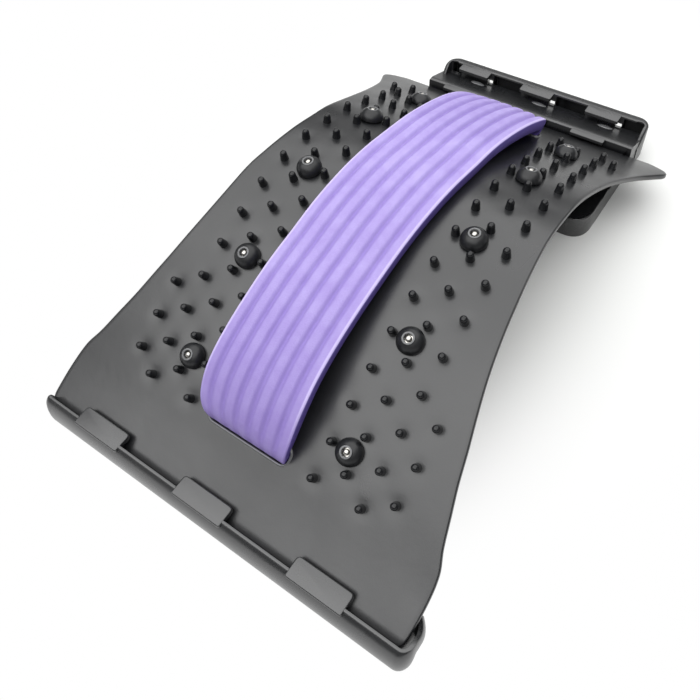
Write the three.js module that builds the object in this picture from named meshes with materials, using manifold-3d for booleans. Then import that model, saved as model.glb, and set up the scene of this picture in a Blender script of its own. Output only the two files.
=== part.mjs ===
// Arched back stretcher: a moulded base, a hooked springy arch plate, a ribbed foam pad
// and ten magnet buttons. Millimetres, X across, Y along (front lip at -Y), Z up.
import * as THREE from 'three';
import { mergeVertices } from 'three/addons/utils/BufferGeometryUtils.js';
import Module from 'manifold-3d';

const wasm = await Module();
wasm.setup();

// Base frame
const baseLength = 372;
const skin = 2.5;
const rib = 2.5;
const trayWallHeight = 8;
const spineWidth = 100;
const trayRibPitch = 25;
const trayCrossRibs = 7;
const barDepth = 22.3;
const wingLength = 46;
const planRound = 5;
const innerRound = 18;

// Front lip
const lipWidth = 245;
const lipFloorInset = 4;
const lipTopInset = 2;
const lipPlanRound = 9;
const lipRearRound = 1;
const endWallDrop = 4;
const lipHeight = 22;
const lipThickness = 7;
const lipTabWidth = 33;
const lipTabPitch = 74;
const lipTabOverhang = 8.3;
const lipTabThickness = 2.8;
const lipTabRound = 2.5;
const lipTabEdge = 1;
const lipTabRootRound = 0.1;
const lipBulge = 0.8;
const lipTopRound = 0.6;
const frontSeatHeight = 11.6;
const seatLedge = 10;
const tabsPerRow = 3;
const lipBays = 8;
// Outer face of the lip: shares of its thickness and height; its ends: shares of height and bulge
const lipFaceShares = [[0.55, 0.965], [0.26, 0.86], [0.07, 0.64], [0, 0.36]];
const lipEndShares = [[0, 0], [0.22, 0.72], [0.5, 1], [0.76, 0.95], [0.93, 0.7]];

// Far block with its rows of hooks
const blockLength = 97;
const blockWidth = 158.6;
const blockTopWidth = 152.8;
const blockNearRound = 14;
const rimHeight = 23.4;
const rimThickness = 5.2;
const hookRows = 3;
const hookRowPitch = 25;
const hookTabWidth = 23;
const hookTabPitch = 49.5;
const hookTabOverhang = 5.8;
const hookTabThickness = 2.4;
const hookTabEdge = 0.8;
const grooveWidth = 10;
const farSeatHeight = 14.2;
const grooveLipHeight = 17;
const rampLength = 9;
const sideWall = 3;
const blockBays = 5;
const coreSideReach = 1;
const blockEdgeRound = 6;
const blockEdgeShares = [[0.02, 0.62], [0.13, 0.3], [0.32, 0.1], [0.62, 0]];

// Arch plate
const plateThickness = 3.2;
const plateColumns = 6;
const longStationShare = 0.03;
const crownHeight = 79.9;
const seatGap = 0.1;
const endClearance = 0.6;
const shoulderHalfWidth = 120;
const seatHalfWidth = 118.6;
const waistHalfWidth = 81.7;
const wingHalfWidth = 105.5;

// Massage nodes, a staggered pattern on each side of the pad
const nodeRowPitch = 20.26;
const nodeColumnPitch = 14.18;
const firstColumnX = 41;
const firstRowInset = 43.4;
const lastRowInset = 30;
const extraFrontRows = 3;
const staggerShare = 0.5;
const farNodeColumnShare = 2.65;
const nodeRadius = 2.3;
const nodeTipRadius = 1.2;
const nodeHeight = 6.2;
const nodeShoulder = 1.5;
const nodeRoot = 1;
const nodeSides = 6;

// Magnet buttons
const buttonX = 51.5;
const buttonsPerSide = 5;
const buttonEndRows = 1;
const capRadius = 7.2;
const capHeight = 6.6;
const capSeat = 0.4;
const stemRadius = 4.4;
const stemClearance = 0.4;
const barbRadius = 5.3;
const barbLength = 1.2;
const barbGap = 0.4;
const apertureRadius = 1.9;
const capCrown = 2.2;
const capFaceShares = [[0.96, 0.38], [0.8, 0.7], [0.52, 0.92]];
const magnetRadius = 3.1;
const magnetTipRadius = 1.6;
const magnetGap = 0.3;
const magnetProud = 0.3;
const roundSides = 14;

// Foam pad
const padHalfWidth = 31;
const padTailHalfWidth = 24;
const padThickness = 8;
const padTailThickness = 4.5;
const padTailDepth = 8;
const padLift = 15.5;
const padRibs = 7;
const ribDepth = 1.5;
const ribFlankShare = 0.2;
const ribShoulderShare = 0.3;
const padCrown = 1;
const padSideDraw = 1.4;
const padSideShare = 0.6;
const tailRibShare = 0.2;
const tailStepShares = [1, 0.5, 0.06];
const padSteps = 36;
const slotClearance = 0.6;
const nearSlotInset = 1.6;
const farSlotInset = 0.8;

// Working values
const overrun = 1;
const fuse = 0.5;
const arcSegments = 6;
const arcDivisions = 600;
const halfLength = baseLength / 2;
const lipHalf = lipWidth / 2;
const lipWallY = -halfLength + lipThickness;
const hookWallY = (row) => halfLength - rimThickness - row * hookRowPitch;
const blockNearY = halfLength - blockLength;

const toSolid = (geometry) => {
  const bare = geometry.clone();
  bare.deleteAttribute('normal');
  bare.deleteAttribute('uv');
  const merged = mergeVertices(bare);
  const vertProperties = new Float32Array(merged.attributes.position.array);
  const triVerts = new Uint32Array(merged.index.array);
  return new wasm.Manifold(new wasm.Mesh({ numProp: 3, vertProperties, triVerts }));
};

const toGeometry = (solid) => {
  const mesh = solid.getMesh();
  const geometry = new THREE.BufferGeometry();
  geometry.setAttribute('position', new THREE.BufferAttribute(new Float32Array(mesh.vertProperties), 3));
  geometry.setIndex(new THREE.BufferAttribute(new Uint32Array(mesh.triVerts), 1));
  geometry.computeVertexNormals();
  return geometry;
};

const joined = (solids) => solids.reduce((sum, next) => sum.add(next));

const block = (x0, x1, y0, y1, z0, z1) => {
  const geometry = new THREE.BoxGeometry(x1 - x0, y1 - y0, z1 - z0);
  geometry.translate((x0 + x1) / 2, (y0 + y1) / 2, (z0 + z1) / 2);
  return toSolid(geometry);
};

// A polygon [u, v] pushed along X, with u on Y and v on Z
const prismX = (points, x0, x1) => {
  const shape = new THREE.Shape(points.map(([u, v]) => new THREE.Vector2(u, v)));
  const geometry = new THREE.ExtrudeGeometry(shape, { depth: x1 - x0, bevelEnabled: false });
  const turn = new THREE.Matrix4().set(0, 0, 1, x0, 1, 0, 0, 0, 0, 1, 0, 0, 0, 0, 0, 1);
  geometry.applyMatrix4(turn);
  return toSolid(geometry);
};

// A polygon [u, v] pushed along Y, with u on X and v on Z
const prismY = (points, y0, y1) => {
  const shape = new THREE.Shape(points.map(([u, v]) => new THREE.Vector2(u, v)));
  const geometry = new THREE.ExtrudeGeometry(shape, { depth: y1 - y0, bevelEnabled: false });
  const turn = new THREE.Matrix4().set(1, 0, 0, 0, 0, 0, -1, y1, 0, 1, 0, 0, 0, 0, 0, 1);
  geometry.applyMatrix4(turn);
  return toSolid(geometry);
};

const prismZ = (shape, z0, z1) => {
  const options = { depth: z1 - z0, bevelEnabled: false, curveSegments: arcSegments };
  const geometry = new THREE.ExtrudeGeometry(shape, options);
  geometry.translate(0, 0, z0);
  return toSolid(geometry);
};

// Moves each edge of a counter-clockwise polygon inwards by a distance
const insetPolygon = (points, distance) => points.map((point, i) => {
  const before = points[(i + points.length - 1) % points.length];
  const after = points[(i + 1) % points.length];
  const inLength = Math.hypot(point[0] - before[0], point[1] - before[1]);
  const outLength = Math.hypot(after[0] - point[0], after[1] - point[1]);
  const inDir = [(point[0] - before[0]) / inLength, (point[1] - before[1]) / inLength];
  const outDir = [(after[0] - point[0]) / outLength, (after[1] - point[1]) / outLength];
  const turn = inDir[0] * outDir[1] - inDir[1] * outDir[0];
  const along = inDir[0] * outDir[0] + inDir[1] * outDir[1];
  const slide = turn === 0 ? 0 : (1 - along) / turn;
  const shiftX = -inDir[1] - inDir[0] * slide;
  const shiftY = inDir[0] - inDir[1] * slide;
  return [point[0] + distance * shiftX, point[1] + distance * shiftY];
});

const roundedShape = (points, radii) => {
  const shape = new THREE.Shape();
  points.forEach((point, i) => {
    const before = points[(i + points.length - 1) % points.length];
    const after = points[(i + 1) % points.length];
    const back = Math.hypot(before[0] - point[0], before[1] - point[1]);
    const ahead = Math.hypot(after[0] - point[0], after[1] - point[1]);
    const radius = Math.min(radii[i], back / 2, ahead / 2);
    const startX = point[0] + (before[0] - point[0]) * radius / back;
    const startY = point[1] + (before[1] - point[1]) * radius / back;
    const endX = point[0] + (after[0] - point[0]) * radius / ahead;
    const endY = point[1] + (after[1] - point[1]) * radius / ahead;
    if (i === 0) shape.moveTo(startX, startY);
    else shape.lineTo(startX, startY);
    shape.quadraticCurveTo(point[0], point[1], endX, endY);
  });
  shape.closePath();
  return shape;
};

const centredPlaces = (count, pitch) => Array.from({ length: count }, (_, i) => (i - (count - 1) / 2) * pitch);

// Plan of the I-shaped base, counter-clockwise from the front left
const planPoints = (inset) => {
  const bar = lipHalf - lipFloorInset;
  const barBackY = -halfLength + barDepth;
  const wingEndY = barBackY + wingLength;
  const spine = spineWidth / 2;
  const side = blockWidth / 2;
  const right = [
    [bar, -halfLength], [bar, barBackY], [spine, wingEndY],
    [spine, blockNearY], [side, blockNearY], [side, halfLength],
  ];
  const left = right.map(([x, y]) => [-x, y]).reverse();
  return insetPolygon([...right, ...left], inset);
};

const planRadii = (inset) => {
  const out = (radius) => radius - inset;
  const into = (radius) => radius + inset;
  const right = [
    out(planRound), out(planRound), into(innerRound),
    into(planRound), out(blockNearRound), out(planRound),
  ];
  return [...right, ...right.slice().reverse()];
};

const planPrism = (inset, z0, z1) => prismZ(roundedShape(planPoints(inset), planRadii(inset)), z0, z1);

// Front bar: a rounded lip over a ledge that carries the plate's front edge
const frontBar = () => {
  const front = -halfLength;
  const back = front + barDepth;
  const section = [
    [front + lipBulge, 0], [back, 0], [back, trayWallHeight], [lipWallY + seatLedge, frontSeatHeight],
    [lipWallY, frontSeatHeight], [lipWallY, lipHeight], [lipWallY - lipBulge, lipHeight],
    ...lipFaceShares.map(([out, up]) => [front + lipThickness * out, lipHeight * up]),
  ];
  const floorHalf = lipHalf - lipFloorInset;
  const topHalf = lipHalf - lipTopInset;
  const rightEnd = lipEndShares.map(([up, out]) => {
    const base = floorHalf + (topHalf - floorHalf) * up;
    return [base + (lipHalf - base) * out, lipHeight * up];
  });
  rightEnd.push([topHalf - lipTopRound, lipHeight]);
  const leftEnd = rightEnd.map(([x, z]) => [-x, z]).reverse();
  const ends = prismY([...rightEnd, ...leftEnd], front - overrun, back + overrun);
  const corners = [[-lipHalf, front], [lipHalf, front], [lipHalf, back], [-lipHalf, back]];
  const radii = [lipPlanRound, lipPlanRound, lipRearRound, lipRearRound];
  const plan = prismZ(roundedShape(corners, radii), 0, lipHeight);
  const wallSection = [
    [lipWallY - fuse, 0], [back, 0], [back, lipHeight - endWallDrop], [back - endWallDrop, lipHeight],
    [lipWallY - fuse, lipHeight],
  ];
  const wallX = seatHalfWidth + endClearance;
  const walls = prismX(wallSection, wallX, lipHalf).add(prismX(wallSection, -lipHalf, -wallX));
  let bar = prismX(section, -lipHalf, lipHalf).add(walls).intersect(ends).intersect(plan);
  const bayPitch = (2 * (floorHalf - sideWall) + rib) / lipBays;
  centredPlaces(lipBays, bayPitch).forEach((x) => {
    const half = (bayPitch - rib) / 2;
    const top = frontSeatHeight - skin;
    bar = bar.subtract(block(x - half, x + half, front + sideWall, back - sideWall, -overrun, top));
  });
  const tabHalf = lipTabWidth / 2;
  const tip = lipWallY + lipTabOverhang;
  const lowZ = lipHeight - lipTabThickness;
  const tabSection = [
    [lipWallY - fuse, lowZ], [tip, lowZ], [tip, lipHeight - lipTabEdge],
    [tip - lipTabEdge, lipHeight], [lipWallY - fuse, lipHeight],
  ];
  const tabs = centredPlaces(tabsPerRow, lipTabPitch).map((x) => {
    const outline = roundedShape(
      [[x - tabHalf, lipWallY - fuse], [x + tabHalf, lipWallY - fuse], [x + tabHalf, tip], [x - tabHalf, tip]],
      [lipTabRootRound, lipTabRootRound, lipTabRound, lipTabRound],
    );
    return prismX(tabSection, x - tabHalf, x + tabHalf).intersect(prismZ(outline, 0, lipHeight + overrun));
  });
  return joined([bar, ...tabs]);
};

// Side view of the hook rows' top skin, from the near ramp to the far rim
const hookSection = () => {
  const points = [[hookWallY(hookRows - 1) - grooveWidth - rampLength, 0]];
  points.push([hookWallY(hookRows - 1) - grooveWidth - rampLength, trayWallHeight]);
  for (let row = hookRows - 1; row >= 0; row -= 1) {
    const wallY = hookWallY(row);
    points.push([wallY - grooveWidth, grooveLipHeight], [wallY - grooveWidth, farSeatHeight]);
    points.push([wallY, farSeatHeight], [wallY, rimHeight], [wallY + rimThickness, rimHeight]);
  }
  points.push([halfLength, 0]);
  return points.reverse();
};

// Far block: hook rows hollow from below, with core openings behind each tab
const farBlock = () => {
  const section = hookSection();
  const half = blockWidth / 2;
  const topHalf = blockTopWidth / 2;
  let body = prismX(section, -half, half);
  const cavity = insetPolygon(section.map(([y, z]) => [y, z === 0 ? -rimHeight : z]), skin);
  const bayPitch = (2 * (topHalf - sideWall) + rib) / blockBays;
  centredPlaces(blockBays, bayPitch).forEach((x) => {
    body = body.subtract(prismX(cavity, x - (bayPitch - rib) / 2, x + (bayPitch - rib) / 2));
  });
  for (let row = 0; row < hookRows; row += 1) {
    const wallY = hookWallY(row);
    const tip = wallY - hookTabOverhang;
    const lowZ = rimHeight - hookTabThickness;
    const tabSection = [
      [tip, lowZ], [wallY + fuse, lowZ], [wallY + fuse, rimHeight],
      [tip + hookTabEdge, rimHeight], [tip, rimHeight - hookTabEdge],
    ];
    centredPlaces(tabsPerRow, hookTabPitch).forEach((x) => {
      const coreHalf = hookTabWidth / 2 + coreSideReach;
      const sill = farSeatHeight - skin - overrun;
      body = body.subtract(block(x - coreHalf, x + coreHalf, tip, wallY, sill, lowZ));
      body = body.add(prismX(tabSection, x - hookTabWidth / 2, x + hookTabWidth / 2));
    });
  }
  const rightEdge = blockEdgeShares.map(([across, down]) => (
    [topHalf - blockEdgeRound * across, rimHeight - blockEdgeRound * down]
  ));
  const leftEdge = rightEdge.map(([x, z]) => [-x, z]).reverse();
  const draft = prismY(
    [[-half, 0], [half, 0], ...rightEdge, ...leftEdge],
    blockNearY - overrun, halfLength + overrun,
  );
  return body.intersect(draft).intersect(planPrism(0, 0, rimHeight));
};

const baseFrame = () => {
  const barBackY = -halfLength + barDepth;
  const rampY = hookWallY(hookRows - 1) - grooveWidth - rampLength;
  const tray = planPrism(0, 0, trayWallHeight).subtract(planPrism(sideWall, skin, trayWallHeight + overrun));
  const middle = block(-lipHalf, lipHalf, barBackY - fuse, rampY + fuse, 0, trayWallHeight);
  const ribs = [-trayRibPitch, 0, trayRibPitch].map((x) => (
    block(x - rib / 2, x + rib / 2, barBackY - fuse, rampY + fuse, 0, trayWallHeight - skin)
  ));
  const crossPitch = (blockNearY - barBackY - wingLength) / (trayCrossRibs + 1);
  const crossStart = barBackY + wingLength;
  const crosses = Array.from({ length: trayCrossRibs }, (_, i) => {
    const y = crossStart + (i + 1) * crossPitch;
    return block(-spineWidth / 2 + fuse, spineWidth / 2 - fuse, y - rib / 2, y + rib / 2, 0, trayWallHeight - skin);
  });
  const trayPart = joined([tray.intersect(middle), ...ribs, ...crosses]);
  return joined([trayPart, frontBar(), farBlock()]);
};

// Centre line of the plate's top: shares of its length along Y and of its rise
const archYShares = [0.063, 0.118, 0.229, 0.341, 0.458, 0.518, 0.579, 0.637, 0.699, 0.807, 0.914, 0.968];
const archZShares = [0.126, 0.256, 0.534, 0.787, 0.965, 0.999, 0.99, 0.935, 0.845, 0.582, 0.277, 0.131];
const archStart = new THREE.Vector2(lipWallY + endClearance, frontSeatHeight + plateThickness + seatGap);
const archEnd = new THREE.Vector2(hookWallY(1) - endClearance, farSeatHeight + plateThickness + seatGap);
const archCurve = new THREE.SplineCurve([
  archStart,
  ...archYShares.map((share, i) => new THREE.Vector2(
    archStart.x + (archEnd.x - archStart.x) * share,
    archStart.y + (crownHeight - archStart.y) * archZShares[i],
  )),
  archEnd,
]);
archCurve.arcLengthDivisions = arcDivisions;
const archLength = archCurve.getLength();

// Place, tangent and outward normal on the plate's top at a length along it
const onArch = (length) => {
  const share = Math.min(Math.max(length / archLength, 0), 1);
  const point = archCurve.getPointAt(share);
  const tangent = archCurve.getTangentAt(share);
  return { y: point.x, z: point.y, ty: tangent.x, tz: tangent.y };
};

const nodeRows = 1 + Math.floor((archLength - firstRowInset - lastRowInset) / nodeRowPitch);
const rowLength = (row) => firstRowInset + row * nodeRowPitch;

const lifted = (length, height) => {
  const at = onArch(length);
  return [at.y - at.tz * height, at.z + at.ty * height];
};

// Half width along the plate: shares of its length, then of the way from waist to shoulder or wing
const seatWidthShares = [[0, 0.975], [0.006, 0.993], [0.02, 1], [0.064, 1]];
const frontWidthShares = [
  [0.103, 0.937], [0.132, 0.83], [0.171, 0.718],
  [0.211, 0.603], [0.256, 0.496], [0.301, 0.386], [0.357, 0.269], [0.413, 0.18], [0.47, 0.112],
  [0.526, 0.05], [0.57, 0.015], [0.633, 0],
];
const farWidthShares = [
  [0.67, 0.006], [0.717, 0.034], [0.762, 0.097], [0.807, 0.193], [0.852, 0.349], [0.903, 0.58],
  [0.937, 0.81], [0.965, 1], [0.979, 0.94], [0.989, 0.74], [0.996, 0.5], [1, 0.27],
];
const widthStations = [
  ...seatWidthShares.map(([at, out]) => [at, seatHalfWidth * out]),
  ...frontWidthShares.map(([at, out]) => [at, waistHalfWidth + (shoulderHalfWidth - waistHalfWidth) * out]),
  ...farWidthShares.map(([at, out]) => [at, waistHalfWidth + (wingHalfWidth - waistHalfWidth) * out]),
];

// Closed body through rings of points that match one another
const ringBody = (rings, capIndex) => {
  const size = rings[0].length;
  const positions = rings.flat(2);
  const index = [];
  for (let i = 0; i < rings.length - 1; i += 1) {
    for (let j = 0; j < size; j += 1) {
      const k = (j + 1) % size;
      const a = i * size;
      const b = (i + 1) * size;
      index.push(a + j, a + k, b + k, a + j, b + k, b + j);
    }
  }
  const last = (rings.length - 1) * size;
  capIndex.forEach(([a, b, c]) => {
    index.push(a, c, b);
    index.push(last + a, last + b, last + c);
  });
  const geometry = new THREE.BufferGeometry();
  geometry.setAttribute('position', new THREE.Float32BufferAttribute(positions, 3));
  geometry.setIndex(index);
  return geometry;
};

// End faces of a strip of columns, whose upper points run one way and lower points back
const stripFaces = (columns) => Array.from({ length: columns }, (_, i) => {
  const across = 2 * columns - i;
  return [[i, i + 1, across], [i, across, across + 1]];
}).flat();

// End faces of a ring seen whole from one of its points
const fanFaces = (size, hub) => Array.from({ length: size - 2 }, (_, i) => (
  [hub, (hub + i + 1) % size, (hub + i + 2) % size]
));

const plateSlab = () => {
  const xShares = Array.from({ length: plateColumns + 1 }, (_, i) => i / plateColumns * 2 - 1);
  const stations = [];
  widthStations.forEach(([at, half], i) => {
    stations.push([at, half]);
    const next = widthStations[i + 1];
    const long = next && next[0] - at > longStationShare;
    if (long) stations.push([(at + next[0]) / 2, (half + next[1]) / 2]);
  });
  const rings = stations.map(([at, half]) => {
    const top = lifted(at * archLength, 0);
    const under = lifted(at * archLength, -plateThickness);
    const topRow = xShares.map((share) => [share * half, top[0], top[1]]);
    const underRow = xShares.map((share) => [-share * half, under[0], under[1]]);
    return [...topRow, ...underRow];
  });
  return ringBody(rings, stripFaces(plateColumns));
};

const onPlate = (geometry, x, length) => {
  const at = onArch(length);
  const frame = new THREE.Matrix4().set(
    1, 0, 0, x, 0, at.ty, -at.tz, at.y, 0, at.tz, at.ty, at.z, 0, 0, 0, 1,
  );
  return geometry.clone().applyMatrix4(frame);
};

const turned = (profile, sides) => {
  const points = profile.map(([r, h]) => new THREE.Vector2(r, h));
  const geometry = new THREE.LatheGeometry(points, sides);
  geometry.rotateX(Math.PI / 2);
  return geometry;
};

const buttonPlaces = () => {
  const places = [];
  const rowStep = (nodeRows - 1 - 2 * buttonEndRows) / (buttonsPerSide - 1);
  for (let i = 0; i < buttonsPerSide; i += 1) {
    const length = rowLength(buttonEndRows + i * rowStep);
    places.push([-buttonX, length], [buttonX, length]);
  }
  return places;
};

// Nodes keep clear of the buttons
const nodePlaces = () => {
  const places = [];
  const add = (column, row) => {
    const x = firstColumnX + column * nodeColumnPitch;
    places.push([x, rowLength(row)], [-x, rowLength(row)]);
  };
  for (let row = 0; row < nodeRows; row += 1) {
    add(0, row);
    add(2, row);
    if (row < nodeRows - 1) add(1, row + staggerShare);
    if (row < extraFrontRows) add(3, row + staggerShare);
  }
  add(farNodeColumnShare, nodeRows - 2 + staggerShare);
  const clear = capRadius + nodeRadius + seatGap;
  const near = ([x, length]) => ([bx, at]) => Math.hypot(x - bx, length - at) < clear;
  return places.filter((place) => !buttonPlaces().some(near(place)));
};

const slotLengths = [rowLength(0) + nearSlotInset, rowLength(nodeRows - 1) - farSlotInset];

const archPlate = () => {
  let plate = toSolid(plateSlab());
  const nodeProfile = [
    [0, -nodeRoot], [nodeRadius, -nodeRoot], [nodeRadius, nodeHeight - nodeShoulder],
    [nodeTipRadius, nodeHeight], [0, nodeHeight],
  ];
  const node = turned(nodeProfile, nodeSides);
  const nodes = nodePlaces().map(([x, length]) => toSolid(onPlate(node, x, length)));
  plate = joined([plate, ...nodes]);
  const holeRadius = stemRadius + stemClearance;
  const deep = plateThickness + overrun;
  const hole = turned([[0, -deep], [holeRadius, -deep], [holeRadius, overrun], [0, overrun]], roundSides);
  buttonPlaces().forEach(([x, length]) => {
    plate = plate.subtract(toSolid(onPlate(hole, x, length)));
  });
  slotLengths.forEach((length) => {
    const slot = new THREE.BoxGeometry(
      2 * (padTailHalfWidth + slotClearance), padTailThickness + 2 * slotClearance, 2 * deep,
    );
    plate = plate.subtract(toSolid(onPlate(slot, 0, length)));
  });
  return toGeometry(plate);
};

const pocketRadius = magnetRadius + magnetGap;
const stemBottom = -plateThickness - barbGap - barbLength;
const pocketTop = capHeight - capCrown;

const capGeometry = () => {
  const barbTop = stemBottom + barbLength;
  return turned([
    [pocketRadius, stemBottom], [barbRadius, stemBottom], [barbRadius, barbTop], [stemRadius, barbTop],
    [stemRadius, capSeat], [capRadius, capSeat],
    ...capFaceShares.map(([out, up]) => [capRadius * out, capHeight * up]), [apertureRadius, capHeight],
    [apertureRadius, pocketTop], [pocketRadius, pocketTop], [pocketRadius, stemBottom],
  ], roundSides);
};

const magnetGeometry = () => {
  const shoulder = pocketTop - magnetGap;
  const low = stemBottom + magnetGap;
  return turned([
    [0, low], [magnetRadius, low], [magnetRadius, shoulder], [magnetTipRadius, shoulder],
    [magnetTipRadius, capHeight], [0, capHeight + magnetProud],
  ], roundSides);
};

// Pad: its middle line as shares of the way between the slots and of its lift off the plate
const padPathShares = [
  [0.004, 0.2], [0.014, 0.42], [0.032, 0.6], [0.066, 0.84], [0.102, 0.98], [0.15, 1], [0.21, 0.89],
  [0.282, 0.71], [0.354, 0.555], [0.426, 0.44], [0.5, 0.365], [0.57, 0.335], [0.643, 0.35], [0.715, 0.45],
  [0.787, 0.6], [0.859, 0.7], [0.91, 0.735], [0.945, 0.71], [0.974, 0.58], [0.99, 0.36], [0.997, 0.16],
];
const padThicknessShares = [
  [0, 0], [0.012, 0.12], [0.04, 0.5], [0.09, 0.9], [0.14, 1], [0.9, 1], [0.95, 0.92], [0.98, 0.5], [1, 0],
];
const padWidthShares = [
  [0, 0], [0.004, 0.2], [0.014, 0.42], [0.032, 0.64], [0.066, 0.86], [0.102, 1], [0.18, 1], [0.25, 0.86],
  [0.354, 0.62], [0.5, 0.49], [0.7, 0.5], [0.9, 0.57], [0.97, 0.5], [0.99, 0.3], [1, 0],
];

const readShares = (table, at) => {
  const next = table.findIndex(([place]) => place >= at);
  if (next <= 0) return table[Math.max(next, 0)][1];
  const [p0, v0] = table[next - 1];
  const [p1, v1] = table[next];
  return v0 + (v1 - v0) * (at - p0) / (p1 - p0);
};

const padRing = (centre, across, thickness, half, ribFade) => {
  const point = (x, up) => [x, centre[0] + across[0] * up, centre[1] + across[1] * up];
  const top = thickness / 2;
  const ring = [];
  const pitch = 2 * half / padRibs;
  const crownAt = (x) => -padCrown * ribFade * (x / half) ** 2;
  for (let i = 0; i < padRibs; i += 1) {
    const left = -half + i * pitch;
    const shoulder = ribDepth * ribFade * ribShoulderShare;
    if (i > 0) ring.push(point(left, top - ribDepth * ribFade + crownAt(left)));
    const flank = pitch * ribFlankShare;
    ring.push(point(left + flank, top - shoulder + crownAt(left)));
    ring.push(point(left + pitch / 2, top + crownAt(left + pitch / 2)));
    ring.push(point(left + pitch - flank, top - shoulder + crownAt(left + pitch)));
  }
  const drawn = half - padSideDraw;
  const side = top * padSideShare;
  ring.push(point(half, side), point(drawn, -top), point(0, -top), point(-drawn, -top), point(-half, side));
  return ring;
};

const foamPad = () => {
  const [first, last] = slotLengths;
  const path = [];
  const tailSteps = tailStepShares.map((share) => -padTailDepth * share);
  tailSteps.forEach((height) => path.push([0, ...lifted(first, height)]));
  padPathShares.forEach(([at, up]) => path.push([at, ...lifted(first + (last - first) * at, padLift * up)]));
  tailSteps.slice().reverse().forEach((height) => path.push([1, ...lifted(last, height)]));
  const line = new THREE.SplineCurve(path.map(([, y, z]) => new THREE.Vector2(y, z)));
  const rings = Array.from({ length: padSteps + 1 }, (_, i) => {
    const t = i / padSteps;
    const point = line.getPoint(t);
    const tangent = line.getTangent(t);
    const place = t * (path.length - 1);
    const low = Math.min(Math.floor(place), path.length - 2);
    const at = path[low][0] + (path[low + 1][0] - path[low][0]) * (place - low);
    const thicker = readShares(padThicknessShares, at);
    const thickness = padTailThickness + (padThickness - padTailThickness) * thicker;
    const half = padTailHalfWidth + (padHalfWidth - padTailHalfWidth) * readShares(padWidthShares, at);
    const ribFade = tailRibShare + (1 - tailRibShare) * thicker;
    return padRing([point.x, point.y], [-tangent.y, tangent.x], thickness, half, ribFade);
  });
  const size = rings[0].length;
  return ringBody(rings, fanFaces(size, size - 3));
};

const finishes = {
  base: { color: 0x2b2c2e, roughness: 0.55, metalness: 0 },
  plate: { color: 0x2f3033, roughness: 0.5, metalness: 0 },
  foam: { color: 0xa48fe0, roughness: 0.9, metalness: 0 },
  cap: { color: 0x1c1d1f, roughness: 0.35, metalness: 0 },
  magnet: { color: 0xc9ccd0, roughness: 0.2, metalness: 1 },
};

const model = new THREE.Group();

const addPiece = (parent, name, geometry, finish) => {
  const mesh = new THREE.Mesh(geometry, new THREE.MeshStandardMaterial(finishes[finish]));
  mesh.name = name;
  parent.add(mesh);
  return mesh;
};

addPiece(model, 'base_frame', toGeometry(baseFrame()), 'base');
addPiece(model, 'arch_plate', archPlate(), 'plate');
addPiece(model, 'foam_pad', foamPad(), 'foam');

const cap = capGeometry();
const magnet = magnetGeometry();
buttonPlaces().forEach(([x, length], i) => {
  const at = onArch(length);
  const seat = new THREE.Group();
  seat.position.set(x, at.y, at.z);
  seat.rotation.x = Math.atan2(at.tz, at.ty);
  const side = x < 0 ? 'left' : 'right';
  const number = Math.floor(i / 2) + 1;
  addPiece(seat, `magnet_cap_${side}_${number}`, cap, 'cap');
  addPiece(seat, `magnet_${side}_${number}`, magnet, 'magnet');
  model.add(seat);
});

export default model;
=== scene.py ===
"""Arched back stretcher: a hooked springy plate with massage nodes, a foam pad and magnet buttons on a base.

Sizes are in millimetres and the objects in metres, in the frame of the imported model.
"""
import bisect
import logging
import math
from collections.abc import Callable, Sequence
from dataclasses import dataclass, field
from enum import Enum

import bpy
from mathutils import Matrix, Vector


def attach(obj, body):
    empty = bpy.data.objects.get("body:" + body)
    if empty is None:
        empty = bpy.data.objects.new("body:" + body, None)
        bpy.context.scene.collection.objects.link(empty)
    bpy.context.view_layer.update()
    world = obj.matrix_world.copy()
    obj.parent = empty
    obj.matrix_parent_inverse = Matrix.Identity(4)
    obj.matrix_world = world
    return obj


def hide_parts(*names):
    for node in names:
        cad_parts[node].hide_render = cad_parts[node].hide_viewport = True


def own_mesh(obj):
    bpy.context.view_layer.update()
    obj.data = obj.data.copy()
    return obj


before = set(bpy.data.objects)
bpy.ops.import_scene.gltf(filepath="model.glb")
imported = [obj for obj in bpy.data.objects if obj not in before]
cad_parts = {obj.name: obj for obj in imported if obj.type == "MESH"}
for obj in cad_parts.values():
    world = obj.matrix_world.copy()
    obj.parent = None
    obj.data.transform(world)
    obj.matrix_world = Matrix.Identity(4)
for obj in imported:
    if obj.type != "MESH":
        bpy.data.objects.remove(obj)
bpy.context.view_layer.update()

LOG = logging.getLogger("arched_back_stretcher")
METRES = 0.001
Flat = tuple[float, float]
Place = tuple[float, float, float]
RimPoint = tuple[Flat, Flat, float]


class Combine(Enum):
    """How one closed shell is combined with another."""

    CUT = "DIFFERENCE"
    KEEP_SHARED = "INTERSECT"


class Side(Enum):
    """A side of the object, with the sign of its X."""

    LEFT = -1
    RIGHT = 1


def linear(code: str) -> tuple[float, float, float, float]:
    """Turns an sRGB hex colour to linear light.

    Args:
        code: Six hex digits.

    Returns:
        Red, green, blue and an alpha of one.
    """
    shares = [int(code[i:i + 2], 16) / 255 for i in (0, 2, 4)]
    red, green, blue = (c / 12.92 if c <= 0.04045 else ((c + 0.055) / 1.055) ** 2.4 for c in shares)
    return red, green, blue, 1.0


def per_metre(size: float) -> float:
    """Gives the texture scale whose pattern repeats about every size millimetres."""
    return 1 / (size * METRES)


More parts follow.
